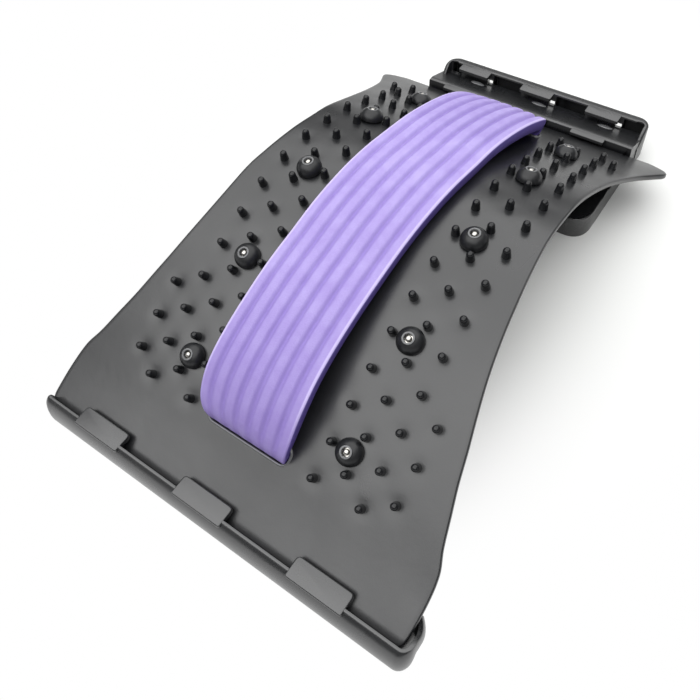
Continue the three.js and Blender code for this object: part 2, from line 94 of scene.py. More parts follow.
def add_node(
    tree: bpy.types.NodeTree, kind: str, settings: dict | None = None, links: dict | None = None,
) -> bpy.types.Node:
    """Adds a node to a tree.

    Args:
        tree: The tree that it goes in.
        kind: The node's type.
        settings: Its properties, and its sockets' values by the socket's name or number.
        links: The output that feeds each input, by the input's name or number.

    Returns:
        The node.
    """
    node = tree.nodes.new(kind)
    for name, value in (settings or {}).items():
        if isinstance(name, int) or name in node.inputs:
            node.inputs[name].default_value = value
        else:
            setattr(node, name, value)
    for name, output in (links or {}).items():
        tree.links.new(output, node.inputs[name])
    return node


def emptied(owner: bpy.types.Material | bpy.types.World) -> bpy.types.NodeTree:
    """Clears the node tree of a material or a world.

    Args:
        owner: The material or world.

    Returns:
        Its tree, with nothing in it.
    """
    owner.use_nodes = True
    owner.node_tree.nodes.clear()
    return owner.node_tree


def smooth_step(low: float, high: float, value: float) -> float:
    """Rises smoothly from 0 at low to 1 at high."""
    share = min(max((value - low) / (high - low), 0.0), 1.0)
    return share * share * (3 - 2 * share)


def read_table(table: Sequence[Flat], at: float) -> float:
    """Reads a table of places and values, with smooth steps between its rows.

    Args:
        table: Rows of place and value, in rising order of place.
        at: The place to read.

    Returns:
        The value there.
    """
    index = min(max(bisect.bisect_right([row[0] for row in table], at), 1), len(table) - 1)
    before = table[max(index - 2, 0)]
    low, high = table[index - 1], table[index]
    after = table[min(index + 1, len(table) - 1)]
    span = high[0] - low[0]
    share = min(max((at - low[0]) / span, 0.0), 1.0)
    rise_low = (high[1] - before[1]) / (high[0] - before[0]) * span
    rise_high = (after[1] - low[1]) / (after[0] - low[0]) * span
    squared, cubed = share ** 2, share ** 3
    return (
        low[1] * (2 * cubed - 3 * squared + 1) + rise_low * (cubed - 2 * squared + share)
        + high[1] * (3 * squared - 2 * cubed) + rise_high * (cubed - squared)
    )


def smooth_path(points: Sequence[Sequence[float]], steps: int) -> list[tuple[float, ...]]:
    """Draws a smooth curve through points.

    Args:
        points: The points, each of as many numbers.
        steps: How many steps the curve has.

    Returns:
        The places along it, one more than its steps.
    """
    last = len(points) - 1
    path = []
    for i in range(steps + 1):
        place = i / steps * last
        low = min(int(place), last - 1)
        t = place - low
        a, b, c, d = (points[min(max(low + k, 0), last)] for k in (-1, 0, 1, 2))
        path.append(tuple(
            0.5 * (2 * q + (r - p) * t + (2 * p - 5 * q + 4 * r - s) * t * t + (3 * q - p - 3 * r + s) * t ** 3)
            for p, q, r, s in zip(a, b, c, d)
        ))
    return path


def rectangle(low: Flat, high: Flat) -> list[Flat]:
    """Gives a rectangle's corners, counter-clockwise from the low one."""
    return [low, (high[0], low[1]), high, (low[0], high[1])]


def both_sides(half: Sequence[RimPoint]) -> list[RimPoint]:
    """Carries a rim line on from the right side to its mirror image on the left."""
    return [*half, *(((-x, y), (-out_x, out_y), share) for (x, y), (out_x, out_y), share in half[::-1])]


def rounded(corners: Sequence[Flat], radii: Sequence[float], steps: int = 6) -> list[Flat]:
    """Rounds the corners of a counter-clockwise outline.

    Args:
        corners: The corners.
        radii: How far from each corner its round starts.
        steps: Points on each round, less one.

    Returns:
        The rounded outline.
    """
    outline = []
    for i, (corner, radius) in enumerate(zip(corners, radii)):
        before, after = corners[i - 1], corners[(i + 1) % len(corners)]
        back, ahead = math.dist(corner, before), math.dist(corner, after)
        reach = min(radius, back / 2.01, ahead / 2.01)
        if reach < 0.02:
            outline.append(corner)
            continue
        start = [c + (b - c) * reach / back for c, b in zip(corner, before)]
        end = [c + (a - c) * reach / ahead for c, a in zip(corner, after)]
        for step in range(steps + 1):
            t = step / steps
            outline.append(tuple(
                s * (1 - t) ** 2 + 2 * c * t * (1 - t) + e * t ** 2 for s, c, e in zip(start, corner, end)
            ))
    return outline


def shrunk(outline: Sequence[Flat], inset: float) -> list[Flat]:
    """Moves each point of a counter-clockwise outline inwards.

    Args:
        outline: The outline.
        inset: How far its edges move.

    Returns:
        The moved outline, point for point.
    """
    moved = []
    for i, point in enumerate(outline):
        before, after = outline[i - 1], outline[(i + 1) % len(outline)]
        into = Vector((point[0] - before[0], point[1] - before[1])).normalized()
        out = Vector((after[0] - point[0], after[1] - point[1])).normalized()
        way = Vector((-into.y - out.y, into.x + out.x))
        # A very sharp corner would move too far without the lower limit.
        way /= max(0.5 * way.length_squared, 0.6)
        moved.append((point[0] + way.x * inset, point[1] + way.y * inset))
    return moved


@dataclass
class Shell:
    """Points and faces of closed surfaces, in millimetres."""

    points: list[Place] = field(default_factory=list)
    faces: list[tuple[int, ...]] = field(default_factory=list)

    def add(self, other: "Shell") -> "Shell":
        """Adds another shell's surfaces to this one.

        Args:
            other: The other shell.

        Returns:
            This shell.
        """
        first = len(self.points)
        self.points.extend(other.points)
        self.faces.extend(tuple(i + first for i in face) for face in other.faces)
        return self

    def moved(self, move: Callable[[Place], Place]) -> "Shell":
        """Gives a copy whose points have been moved."""
        return Shell([move(point) for point in self.points], list(self.faces))

    def mesh(self, name: str) -> bpy.types.Mesh:
        """Makes a mesh of the shell, in metres.

        Args:
            name: The mesh's name.

        Returns:
            The mesh.
        """
        mesh = bpy.data.meshes.new(name)
        mesh.from_pydata([tuple(c * METRES for c in point) for point in self.points], [], self.faces)
        mesh.validate()
        return mesh

    def combined(self, other: "Shell", how: Combine) -> "Shell":
        """Cuts another closed shell from this one, or keeps what they share.

        Args:
            other: The other shell.
            how: Which of the two is done.

        Returns:
            The combined shell.
        """
        pair = [bpy.data.objects.new("carving", shell.mesh("carving")) for shell in (self, other)]
        for item in pair:
            bpy.context.scene.collection.objects.link(item)
        carve = pair[0].modifiers.new("carve", "BOOLEAN")
        carve.operation = how.value
        carve.object = pair[1]
        carve.solver = "MANIFOLD"
        ready = pair[0].evaluated_get(bpy.context.evaluated_depsgraph_get())
        mesh = bpy.data.meshes.new_from_object(ready)
        result = Shell(
            [tuple(c / METRES for c in vertex.co) for vertex in mesh.vertices],
            [tuple(polygon.vertices) for polygon in mesh.polygons],
        )
        for item in pair:
            bpy.data.objects.remove(item)
        bpy.data.meshes.remove(mesh)
        return result


def loft(rings: Sequence[Sequence[Place]], looped: bool = False) -> Shell:
    """Joins matching rings of points into a closed shell.

    Args:
        rings: The rings, each of as many points.
        looped: Whether the last ring is joined to the first, in place of end faces.

    Returns:
        The shell.
    """
    size, count = len(rings[0]), len(rings)
    faces = []
    for i in range(count if looped else count - 1):
        a, b = i * size, (i + 1) % count * size
        faces.extend((a + j, a + (j + 1) % size, b + (j + 1) % size, b + j) for j in range(size))
    if not looped:
        faces.append(tuple(range(size))[::-1])
        faces.append(tuple(range((count - 1) * size, count * size)))
    return Shell([point for ring in rings for point in ring], faces)


def slab(
    outline: Sequence[Flat], low: float, high: float, low_round: float = 0.0, high_round: float = 0.0,
    draft: float = 0.0, steps: int = 4,
) -> Shell:
    """Raises an outline to a slab with rounded edges.

    Args:
        outline: A counter-clockwise outline.
        low: Height of its lower face.
        high: Height of its upper face.
        low_round: Radius of the lower edge.
        high_round: Radius of the upper edge.
        draft: How far the sides lean in from bottom to top.
        steps: Steps on each round.

    Returns:
        The slab.
    """
    levels = []
    for step in range(steps + 1):
        turn = math.pi / 2 * step / steps
        if low_round or step == steps:
            levels.append((low_round * (1 - math.sin(turn)), low + low_round * (1 - math.cos(turn))))
    for step in range(steps + 1):
        turn = math.pi / 2 * step / steps
        if high_round or step == 0:
            levels.append((high_round * (1 - math.cos(turn)), high - high_round * (1 - math.sin(turn))))
    rings = []
    for inset, z in levels:
        lean = draft * (z - low) / (high - low)
        rings.append([(x, y, z) for x, y in shrunk(outline, inset + lean)])
    return loft(rings)


def box(low: Place, high: Place) -> Shell:
    """Makes a plain cutting block between two corners."""
    return slab(rectangle(low[:2], high[:2]), low[2], high[2])


def along_x(shell: Shell) -> Shell:
    """Lays a slab drawn in Y and Z on its side, so that its height runs along X."""
    return shell.moved(lambda p: (p[2], p[0], p[1]))


def turned(profile: Sequence[Flat], sides: int, hollow: bool = False) -> Shell:
    """Turns a profile about the Z axis.

    Args:
        profile: Radius and height of each point, from bottom to top on its outside.
        sides: Steps round the axis.
        hollow: Whether the profile comes back down on its inside to its start.

    Returns:
        The turned shell.
    """
    rings = []
    for radius, height in profile:
        turns = [2 * math.pi * i / sides for i in range(sides)]
        rings.append([(radius * math.cos(t), radius * math.sin(t), height) for t in turns])
    return loft(rings, looped=hollow)


def centred(count: int, pitch: float) -> list[float]:
    """Gives evenly spaced places about zero."""
    return [(i - (count - 1) / 2) * pitch for i in range(count)]


@dataclass
class ArchLine:
    """The middle line of the arch plate's top, seen from the side."""

    start: Flat = (-178.4, 14.9)
    end: Flat = (155.2, 17.5)
    crown_height: float = 79.9
    y_shares: Sequence[float] = (0.063, 0.118, 0.229, 0.341, 0.458, 0.518, 0.579, 0.637, 0.699, 0.807, 0.914, 0.968)
    z_shares: Sequence[float] = (0.126, 0.256, 0.534, 0.787, 0.965, 0.999, 0.99, 0.935, 0.845, 0.582, 0.277, 0.131)
    samples: int = 600
    softening: int = 7

    def __post_init__(self) -> None:
        """Samples the line through its points and evens out its bends."""
        (y0, z0), (y1, _) = self.start, self.end
        points = [self.start]
        for across, up in zip(self.y_shares, self.z_shares):
            points.append((y0 + (y1 - y0) * across, z0 + (self.crown_height - z0) * up))
        points.append(self.end)
        line = smooth_path(points, self.samples)
        for _ in range(self.softening):
            inner = [
                tuple((p + 2 * q + r) / 4 for p, q, r in zip(line[i - 1], line[i], line[i + 1]))
                for i in range(1, self.samples)
            ]
            line = [line[0], *inner, line[-1]]
        self.line = line
        self.lengths = [0.0]
        for before, after in zip(line, line[1:]):
            self.lengths.append(self.lengths[-1] + math.dist(before, after))
        self.length = self.lengths[-1]

    def at(self, length: float) -> tuple[float, float, float, float]:
        """Finds the line at a length along it.

        Args:
            length: The way along it from its front end.

        Returns:
            Y, Z and the two parts of its direction.
        """
        index = min(max(bisect.bisect_right(self.lengths, length) - 1, 0), self.samples - 1)
        near, far = max(index - 2, 0), min(index + 3, self.samples)
        run = self.lengths[far] - self.lengths[near]
        way = [(f - n) / run for n, f in zip(self.line[near], self.line[far])]
        beyond = length - self.lengths[index]
        y, z = (p + w * beyond for p, w in zip(self.line[index], way))
        return y, z, way[0], way[1]

    def place(self, x: float, length: float, height: float) -> Place:
        """Finds the point over a place on the plate, a height off its top."""
        y, z, along, up = self.at(length)
        return x, y - up * height, z + along * height

    def seated(self, shell: Shell, x: float, length: float) -> Shell:
        """Sets a shell drawn about the Z axis upright on the plate."""
        y, z, along, up = self.at(length)
        return shell.moved(lambda p: (x + p[0], y + along * p[1] - up * p[2], z + up * p[1] + along * p[2]))


@dataclass
class NodeGrid:
    """Where the massage nodes, the magnet buttons and the pad's slots sit on the plate."""

    row_pitch: float = 20.26
    column_pitch: float = 14.18
    first_column: float = 41.0
    first_row: float = 43.4
    rows: int = 15
    extra_front_rows: int = 3
    last_column_share: float = 2.65
    button_x: float = 51.5
    buttons_per_side: int = 5
    clear_of_button: float = 9.6
    near_slot_shift: float = 1.3
    far_slot_shift: float = 4.3

    def row(self, number: float) -> float:
        """Gives the length along the arch of a row."""
        return self.first_row + number * self.row_pitch

    def buttons(self) -> list[Flat]:
        """Gives the places of one side's buttons, from the front."""
        step = (self.rows - 3) / (self.buttons_per_side - 1)
        return [(self.button_x, self.row(1 + i * step)) for i in range(self.buttons_per_side)]

    def nodes(self) -> list[Flat]:
        """Works out the places of all nodes, which keep clear of the buttons.

        Returns:
            X and the length along the arch of each.
        """
        spots = []
        for row in range(self.rows):
            spots += [(0, row), (2, row)]
            if row < self.rows - 1:
                spots.append((1, row + 0.5))
            if row < self.extra_front_rows:
                spots.append((3, row + 0.5))
        spots.append((self.last_column_share, self.rows - 1.5))
        places = [(self.first_column + column * self.column_pitch, self.row(row)) for column, row in spots]
        free = [
            place for place in places
            if all(math.dist(place, button) > self.clear_of_button for button in self.buttons())
        ]
        return [(side.value * x, length) for side in Side for x, length in free]

    def slots(self) -> Flat:
        """Gives the lengths along the arch of the pad's two slots."""
        return self.row(0) + self.near_slot_shift, self.row(self.rows - 1) + self.far_slot_shift


@dataclass
class ArchPlate:
    """The springy plate with its massage nodes, moulded in one."""

    line: ArchLine
    grid: NodeGrid
    thickness: float = 3.2
    rim_round: float = 1.1
    step: float = 1.8
    columns: int = 124
    seat_half_width: float = 119.4
    # The front end sits a little to the left, and this fades out between two lengths along the arch.
    seat_shift: float = -2.3
    seat_fade: Flat = (110.0, 15.0)
    waist: float = 81.7
    shoulder: float = 120.0
    wing: float = 105.5
    node_radius: float = 2.15
    node_height: float = 5.3
    node_crown: float = 1.9
    node_sides: int = 18
    # The wall sinks where it draws in under a node as it cools, and less so on the arch's far half.
    sink_depth: float = 0.6
    sink_radius: float = 4.8
    sink_loss: float = 0.7
    sink_fade: Flat = (130.0, 250.0)
    hole_radius: float = 4.8
    slot_half_width: float = 25.6
    slot_half_depth: float = 4.4
    slot_shift: float = -0.5
    # How strong the painted highlight on the slot beads is.
    bead_highlight: float = 0.45
    tints: dict[str, list[float]] = field(default_factory=dict)

    def __post_init__(self) -> None:
        """Works out the plate's outline from its widths."""
        front = (
            (0.103, 0.937), (0.132, 0.83), (0.171, 0.718), (0.211, 0.603), (0.256, 0.496), (0.301, 0.386),
            (0.357, 0.269), (0.413, 0.18), (0.47, 0.112), (0.526, 0.05), (0.57, 0.015), (0.633, 0.0),
        )
        far = (
            (0.67, 0.006), (0.717, 0.034), (0.762, 0.097), (0.807, 0.193), (0.852, 0.349), (0.903, 0.58),
            (0.937, 0.81), (0.965, 1.0), (0.979, 0.94), (0.989, 0.74), (0.996, 0.5), (1.0, 0.27),
        )
        seat = ((0.0, 0.975), (0.006, 0.993), (0.02, 1.0), (0.064, 1.0))
        self.widths = [(at, self.seat_half_width * out) for at, out in seat]
        self.widths += [(at, self.waist + (self.shoulder - self.waist) * out) for at, out in front]
        self.widths += [(at, self.waist + (self.wing - self.waist) * out) for at, out in far]

    def half_width(self, length: float) -> float:
        """Gives the half width of the plate at a length along it."""
        return read_table(self.widths, length / self.line.length)

    def relief(self, x: float, near: Sequence[Flat], length: float) -> float:
        """Works out the height of the top at a place, off the arch line.

        Args:
            x: The place along X.
            near: The nodes near it.
            length: Its length along the arch.

        Returns:
            The height, which is below zero in the sinks.
        """
        depth = self.sink_depth * (1 - self.sink_loss * smooth_step(*self.sink_fade, length))
        drop = 0.0
        for node_x, node_length in near:
            gap = ((x - node_x) ** 2 + (length - node_length) ** 2) / self.sink_radius ** 2
            if gap < 6:
                drop += depth * math.exp(-gap * 1.15)
        return -drop

    def stations(self) -> list[float]:
        """Works out the rows of points, which are closer together at the two ends.

        Returns:
            The length along the arch of each row.
        """
        fine = [0.6 * k for k in range(16)]
        start, end = self.rim_round, self.line.length - self.rim_round
        rows = round((end - start - 2 * fine[-1]) / self.step)
        inner = [start + fine[-1] + (end - start - 2 * fine[-1]) * k / rows for k in range(1, rows)]
        return [start + f for f in fine] + inner + [end - f for f in fine[::-1]]

    def sheet(self) -> Shell:
        """Makes the bent sheet with its rounded rim.

        Returns:
            The sheet, closed all round.
        """
        stations = self.stations()
        rows = len(stations) - 1
        nodes = self.grid.nodes()
        reach = self.sink_radius * 2.5
        top, under, outline = [], [], []
        for length in stations:
            half = self.half_width(length) - self.rim_round
            near = [node for node in nodes if abs(node[1] - length) < reach]
            for j in range(self.columns + 1):
                x = half * (2 * j / self.columns - 1) + self.seat_shift * smooth_step(*self.seat_fade, length)
                outline.append((x, length))
                top.append(self.line.place(x, length, self.relief(x, near, length)))
                under.append(self.line.place(x, length, -self.thickness))
        # The edge runs counter-clockwise round the sheet, and the rim's rings hang from it.
        wide = self.columns + 1
        edge = list(range(wide))
        edge += [i * wide + self.columns for i in range(1, rows + 1)]
        edge += [rows * wide + j for j in range(self.columns - 1, -1, -1)]
        edge += [i * wide for i in range(rows - 1, 0, -1)]
        loop = [outline[k] for k in edge]
        faces = []
        for i in range(rows):
            for j in range(self.columns):
                a = i * wide + j
                faces.append((a, a + 1, a + wide + 1, a + wide))
        count = len(top)
        faces += [tuple(k + count for k in face[::-1]) for face in faces]
        points = top + under
        turns = [math.pi / 6 * k for k in (1, 2, 3)]
        levels = [(self.rim_round * math.sin(t), -self.rim_round * (1 - math.cos(t))) for t in turns]
        levels += [(out, -self.thickness - height) for out, height in levels[::-1]]
        rings = [edge]
        for out, height in levels:
            rings.append(list(range(len(points), len(points) + len(loop))))
            points += [self.line.place(x, length, height) for x, length in shrunk(loop, -out)]
        rings.append([k + count for k in edge])
        for upper, lower in zip(rings, rings[1:]):
            for j in range(len(loop)):
                k = (j + 1) % len(loop)
                faces.append((upper[k], upper[j], lower[j], lower[k]))
        return Shell(points, faces)

    def massage_node(self) -> Shell:
        """Makes one node: a peg with a domed tip and a soft foot.

        Returns:
            The node, upright on the Z axis.
        """
        radius, height, crown = self.node_radius, self.node_height, self.node_crown
        profile = [(radius + 0.35, -1.6), (radius + 0.25, 0.4), (radius + 0.06, 1.5), (radius - 0.12, height - crown)]
        for k in range(1, 7):
            turn = math.pi / 2 * k / 6.3
            share = 0.08 + 0.92 * math.cos(turn)
            profile.append(((radius - 0.12) * share, height - crown + crown * math.sin(turn)))
        return turned(profile, self.node_sides)

    def slot_outline(self, margin: float) -> list[Flat]:
        """Draws a slot's rounded outline.

        Args:
            margin: The margin round it.

        Returns:
            The outline.
        """
        wide, deep = self.slot_half_width + margin, self.slot_half_depth + margin
        corners = rectangle((-wide, -deep), (wide, deep))
        return [(x + self.slot_shift, y) for x, y in rounded(corners, [3.6 + 2 * margin] * 4)]

    def slot_rim(self) -> Shell:
        """Makes the raised bead that runs round a slot.

        Returns:
            The bead, in the slot's own frame.
        """
        rings = []
        for margin, height in ((0.0, -0.5), (0.1, 0.5), (0.3, 0.8), (0.7, 0.9), (1.1, 0.65), (1.6, -0.4)):
            rings.append([(x, y, height) for x, y in self.slot_outline(margin)][::-1])
        return loft(rings, looped=True)

    def shell(self) -> Shell:
        """Makes the whole plate, with its slots and button holes open, and works out its tints.

        Returns:
            The plate.
        """
        plate = self.sheet()
        cutter = Shell()
        for side in Side:
            hole = turned([(self.hole_radius, -6.0), (self.hole_radius, 3.0)], 32)
            for x, length in self.grid.buttons():
                cutter.add(self.line.seated(hole, side.value * x, length))
        for length in self.grid.slots():
            cutter.add(self.line.seated(slab(self.slot_outline(0.0), -6.0, 3.0), 0.0, length))
        plate = plate.combined(cutter, Combine.CUT)
        plain = len(plate.points)
        for length in self.grid.slots():
            plate.add(self.line.seated(self.slot_rim(), 0.0, length))
        beads = len(plate.points) - plain
        peg = self.massage_node()
        for x, length in self.grid.nodes():
            plate.add(self.line.seated(peg, x, length))
        pegs = len(plate.points) - plain - beads
        # The slot beads get a painted highlight, and the pegs a glossier finish.
        self.tints = {
            "painted_highlight": [0.0] * plain + [self.bead_highlight] * beads + [0.0] * pegs,
            "polished": [0.0] * (plain + beads) + [1.0] * pegs,
        }
        return plate


@dataclass
class FoamPad:
    """The ribbed foam strip along the crown, whose two ends go down through the plate."""

    line: ArchLine
    # How far each end goes down through the plate. The far one stays clear of the hooks below it.
    near_tail: float = 8.0
    far_tail: float = 5.4
    ribs: int = 7
    rib_depth: float = 1.6
    rib_points: int = 12
    crowning: float = 0.8
    edge_round: float = 1.2
    far_part: float = 60.0
    rings: int = 270

    def profile(self) -> list[tuple[float, ...]]:
        """Gives the pad's sizes along its way.

        Returns:
            Rows of length on the arch, height of the middle, thickness, half width and sideways shift.
        """
        near, far = self.near_tail, self.far_tail
        return [
            (44.2, -near, 4.4, 24.0, -1.0), (43.6, -near / 2, 4.5, 24.6, -0.8), (43.4, -0.3, 4.8, 25.4, -0.8),
            (44.9, 3.0, 5.4, 26.8, -0.9), (48.4, 6.6, 6.6, 28.0, -1.4), (54.0, 9.8, 8.0, 29.0, -1.8),
            (63.4, 13.1, 8.8, 29.5, -2.1), (73.7, 15.2, 9.0, 29.4, -2.1), (87.2, 15.5, 9.0, 29.0, -2.3),
            (104.0, 13.8, 9.0, 28.8, -2.5), (124.3, 11.0, 9.0, 28.8, -2.5), (144.6, 8.6, 9.0, 28.6, -2.1),
            (164.8, 6.8, 9.0, 28.7, -1.7), (185.6, 5.7, 9.0, 28.8, -1.2), (205.3, 5.2, 9.0, 28.9, -0.7),
            (225.8, 5.4, 9.0, 29.0, -0.3), (246.0, 7.0, 9.0, 28.8, 0.0), (266.3, 9.3, 9.0, 28.9, 0.1),
            (286.6, 10.9, 9.0, 29.2, 0.3), (300.9, 11.4, 9.0, 29.2, 0.6), (311.0, 11.1, 9.0, 28.6, 0.9),
            (320.0, 10.1, 9.0, 27.6, 0.9), (327.0, 8.5, 9.0, 26.5, 0.8), (331.2, 6.0, 8.4, 25.4, 0.6),
            (332.6, 3.0, 6.8, 24.4, 0.3), (332.2, -0.3, 5.4, 23.6, 0.1), (331.6, -far / 2, 4.5, 23.0, 0.0),
            (331.0, -far, 4.4, 22.5, 0.0),
        ]

    def section(self, thickness: float, half: float, ribbed: float) -> list[Flat]:
        """Gives the pad's section, with its ribs on top.

        Args:
            thickness: Its thickness.
            half: Its half width.
            ribbed: How deep the ribs are, as a share.

        Returns:
            The outline, counter-clockwise when looked at from the far end.
        """
        top = thickness / 2
        flat = half - self.edge_round
        crown = [
            (flat * across, top - self.rib_depth * ribbed * dip - self.crowning * ribbed * across ** 2)
            for across, dip in self.dips()
        ]
        low_edge = crown[-1][1]
        right = []
        for k in range(1, 5):
            turn = math.pi / 2 * k / 4
            right.append((
                flat + self.edge_round * math.sin(turn), low_edge - self.edge_round * (1 - math.cos(turn)),
            ))
        side = min(self.edge_round, 0.3 * thickness)
        right += [(half - 0.25, 0.1 * -top), (half - 0.7, -top + side), (half - 1.0 - 0.3 * side, -top + 0.25 * side)]
        right.append((half - 1.2 - side, -top))
        left = [(-x, z) for x, z in right[::-1]]
        return crown + right + left

    def dips(self) -> list[Flat]:
        """Works out the shape across the ribs.

        Returns:
            Places from -1 to 1, and how far down into a valley each is, from 0 to 1.
        """
        count = self.ribs * self.rib_points
        places = []
        for i in range(count + 1):
            turn = math.pi * (0.32 + i / count * (self.ribs - 0.64))
            places.append((2 * i / count - 1, math.cos(turn) ** 6))
        return places

    def way(self) -> list[tuple[float, ...]]:
        """Gives Y, Z, thickness, half width and shift at each ring, on smooth curves through the profile."""
        path = [(*self.line.place(0, at, height)[1:], *rest) for at, height, *rest in self.profile()]
        return smooth_path(path, self.rings)

    def shell(self) -> Shell:
        """Makes the pad.

        Returns:
            The pad, closed at both ends.
        """
        line = self.way()
        rings = []
        for i, (y, z, thickness, half, shift) in enumerate(line):
            before, after = line[max(i - 2, 0)], line[min(i + 2, self.rings)]
            run = math.dist(before[:2], after[:2])
            along, up = (after[0] - before[0]) / run, (after[1] - before[1]) / run
            section = self.section(thickness, half, 0.05 + 0.95 * smooth_step(5.4, 8.9, thickness))
            rings.append([(x + shift, y - up * h, z + along * h) for x, h in section])
        return loft(rings)

    def tints(self) -> dict[str, list[float]]:
        """Works out the painted shade and the painted highlight of the foam at each point, as shares from 0 to 1.

        Returns:
            The painted shade of the valleys and ends, the painted shade of the side faces, and the painted highlight of
            the top edges.
        """
        dips = [dip for _, dip in self.dips()]
        others = len(self.section(9.0, 30.0, 1.0)) - len(dips)
        pressed, cut, glazed = [], [], []
        for y, _, thickness, _, _ in self.way():
            # Painted shade towards both ends, most of all on the front slope, which faces away from the light.
            shade_towards_ends = 0.25 + 0.75 * smooth_step(-55.0, -135.0, y)
            if y < self.far_part:
                shade_towards_ends *= smooth_step(30.0, -25.0, y)
            # The thin ends, which go down into the slots, get painted shade as well.
            end_shade = max(smooth_step(9.0, 4.8, thickness), shade_towards_ends)
            # A painted highlight along the top edges, which fades out towards the front end.
            light = 0.8 * smooth_step(-140.0, -112.0, y)
            # Painted shade in the rib valleys, on top of that of the ends.
            pressed += [min(0.8 * dip + 0.7 * end_shade, 1.0) for dip in dips] + [end_shade] * others
            # Painted shade on the side faces.
            cut += [0.0] * (len(dips) + 2) + [1.0] * (others - 4) + [0.0] * 2
            edge = [light] + [0.0] * (len(dips) - 2) + [light] * 3
            glazed += edge + [0.0] * (others - 4) + [light] * 2
        return {"pressed": pressed, "cut": cut, "glazed": glazed}


@dataclass
class MagnetButtons:
    """The ten snap-in caps and the magnets that show in their tops."""

    cap_radius: float = 7.2
    cap_height: float = 6.6
    seat: float = 0.4
    stem_radius: float = 4.4
    barb_radius: float = 5.3
    barb_length: float = 1.2
    stem_length: float = 4.8
    pocket_radius: float = 3.4
    pocket_top: float = 4.4
    window_radius: float = 2.3
    magnet_radius: float = 3.1
    magnet_tip: float = 1.6
    sides: int = 48
    # The rings of a cap's points that make up the edge of its window, and how strong the painted highlight on that edge
    # is.
    highlight_rings: tuple[int, ...] = (22, 23, 24, 25)
    window_highlight: float = 0.42
    tints: dict[str, list[float]] = field(default_factory=dict)

    def cap(self) -> Shell:
        """Makes a cap: a dome with a round window, a stem and a barb, and works out its tints.

        Returns:
            The cap, upright on the Z axis.
        """
        low, barb_top = -self.stem_length, self.barb_length - self.stem_length
        profile = [
            (self.barb_radius - 0.8, low), (self.barb_radius, barb_top - 0.2), (self.barb_radius - 0.1, barb_top),
            (self.stem_radius, barb_top), (self.stem_radius, self.seat), (self.cap_radius - 0.3, self.seat),
            (self.cap_radius - 0.05, self.seat + 0.25), (self.cap_radius, self.seat + 0.7),
        ]
        rise = self.cap_height - 0.12 - self.seat - 0.7
        rim = self.window_radius + 1.0
        full = math.acos(rim / self.cap_radius)
        for k in range(1, 15):
            turn = full * k / 14
            profile.append((self.cap_radius * math.cos(turn), self.seat + 0.7 + rise * math.sin(turn) / math.sin(full)))
        profile += [
            (rim - 0.05, self.cap_height - 0.03), (rim - 0.12, self.cap_height),
            (self.window_radius + 0.1, self.cap_height), (self.window_radius, self.cap_height - 0.35),
            (self.window_radius - 0.1, self.pocket_top), (self.pocket_radius, self.pocket_top),
            (self.pocket_radius, low),
        ]
        # The window's edge gets a painted highlight.
        window_highlights = [self.window_highlight * (i in self.highlight_rings) for i in range(len(profile))]
        self.tints = {"painted_highlight": [window_highlight for window_highlight in window_highlights for _ in range(self.sides)]}
        return turned(profile, self.sides, hollow=True)

    def magnet(self) -> Shell:
        """Makes a magnet with its stepped and rounded tip.

        Returns:
            The magnet, upright on the Z axis.
        """
        low, shoulder = 0.3 - self.stem_length, self.pocket_top - 0.3
        profile = [
            (self.magnet_radius - 0.2, low), (self.magnet_radius, low + 0.2), (self.magnet_radius, shoulder - 0.2),
            (self.magnet_radius - 0.2, shoulder), (self.magnet_tip, shoulder),
            (self.magnet_tip, self.cap_height - 0.9),
        ]
        for k in range(1, 8):
            turn = math.pi / 2 * k / 7.4
            profile.append((self.magnet_tip * math.cos(turn), self.cap_height - 0.9 + 1.0 * math.sin(turn)))
        return turned(profile, self.sides // 2)


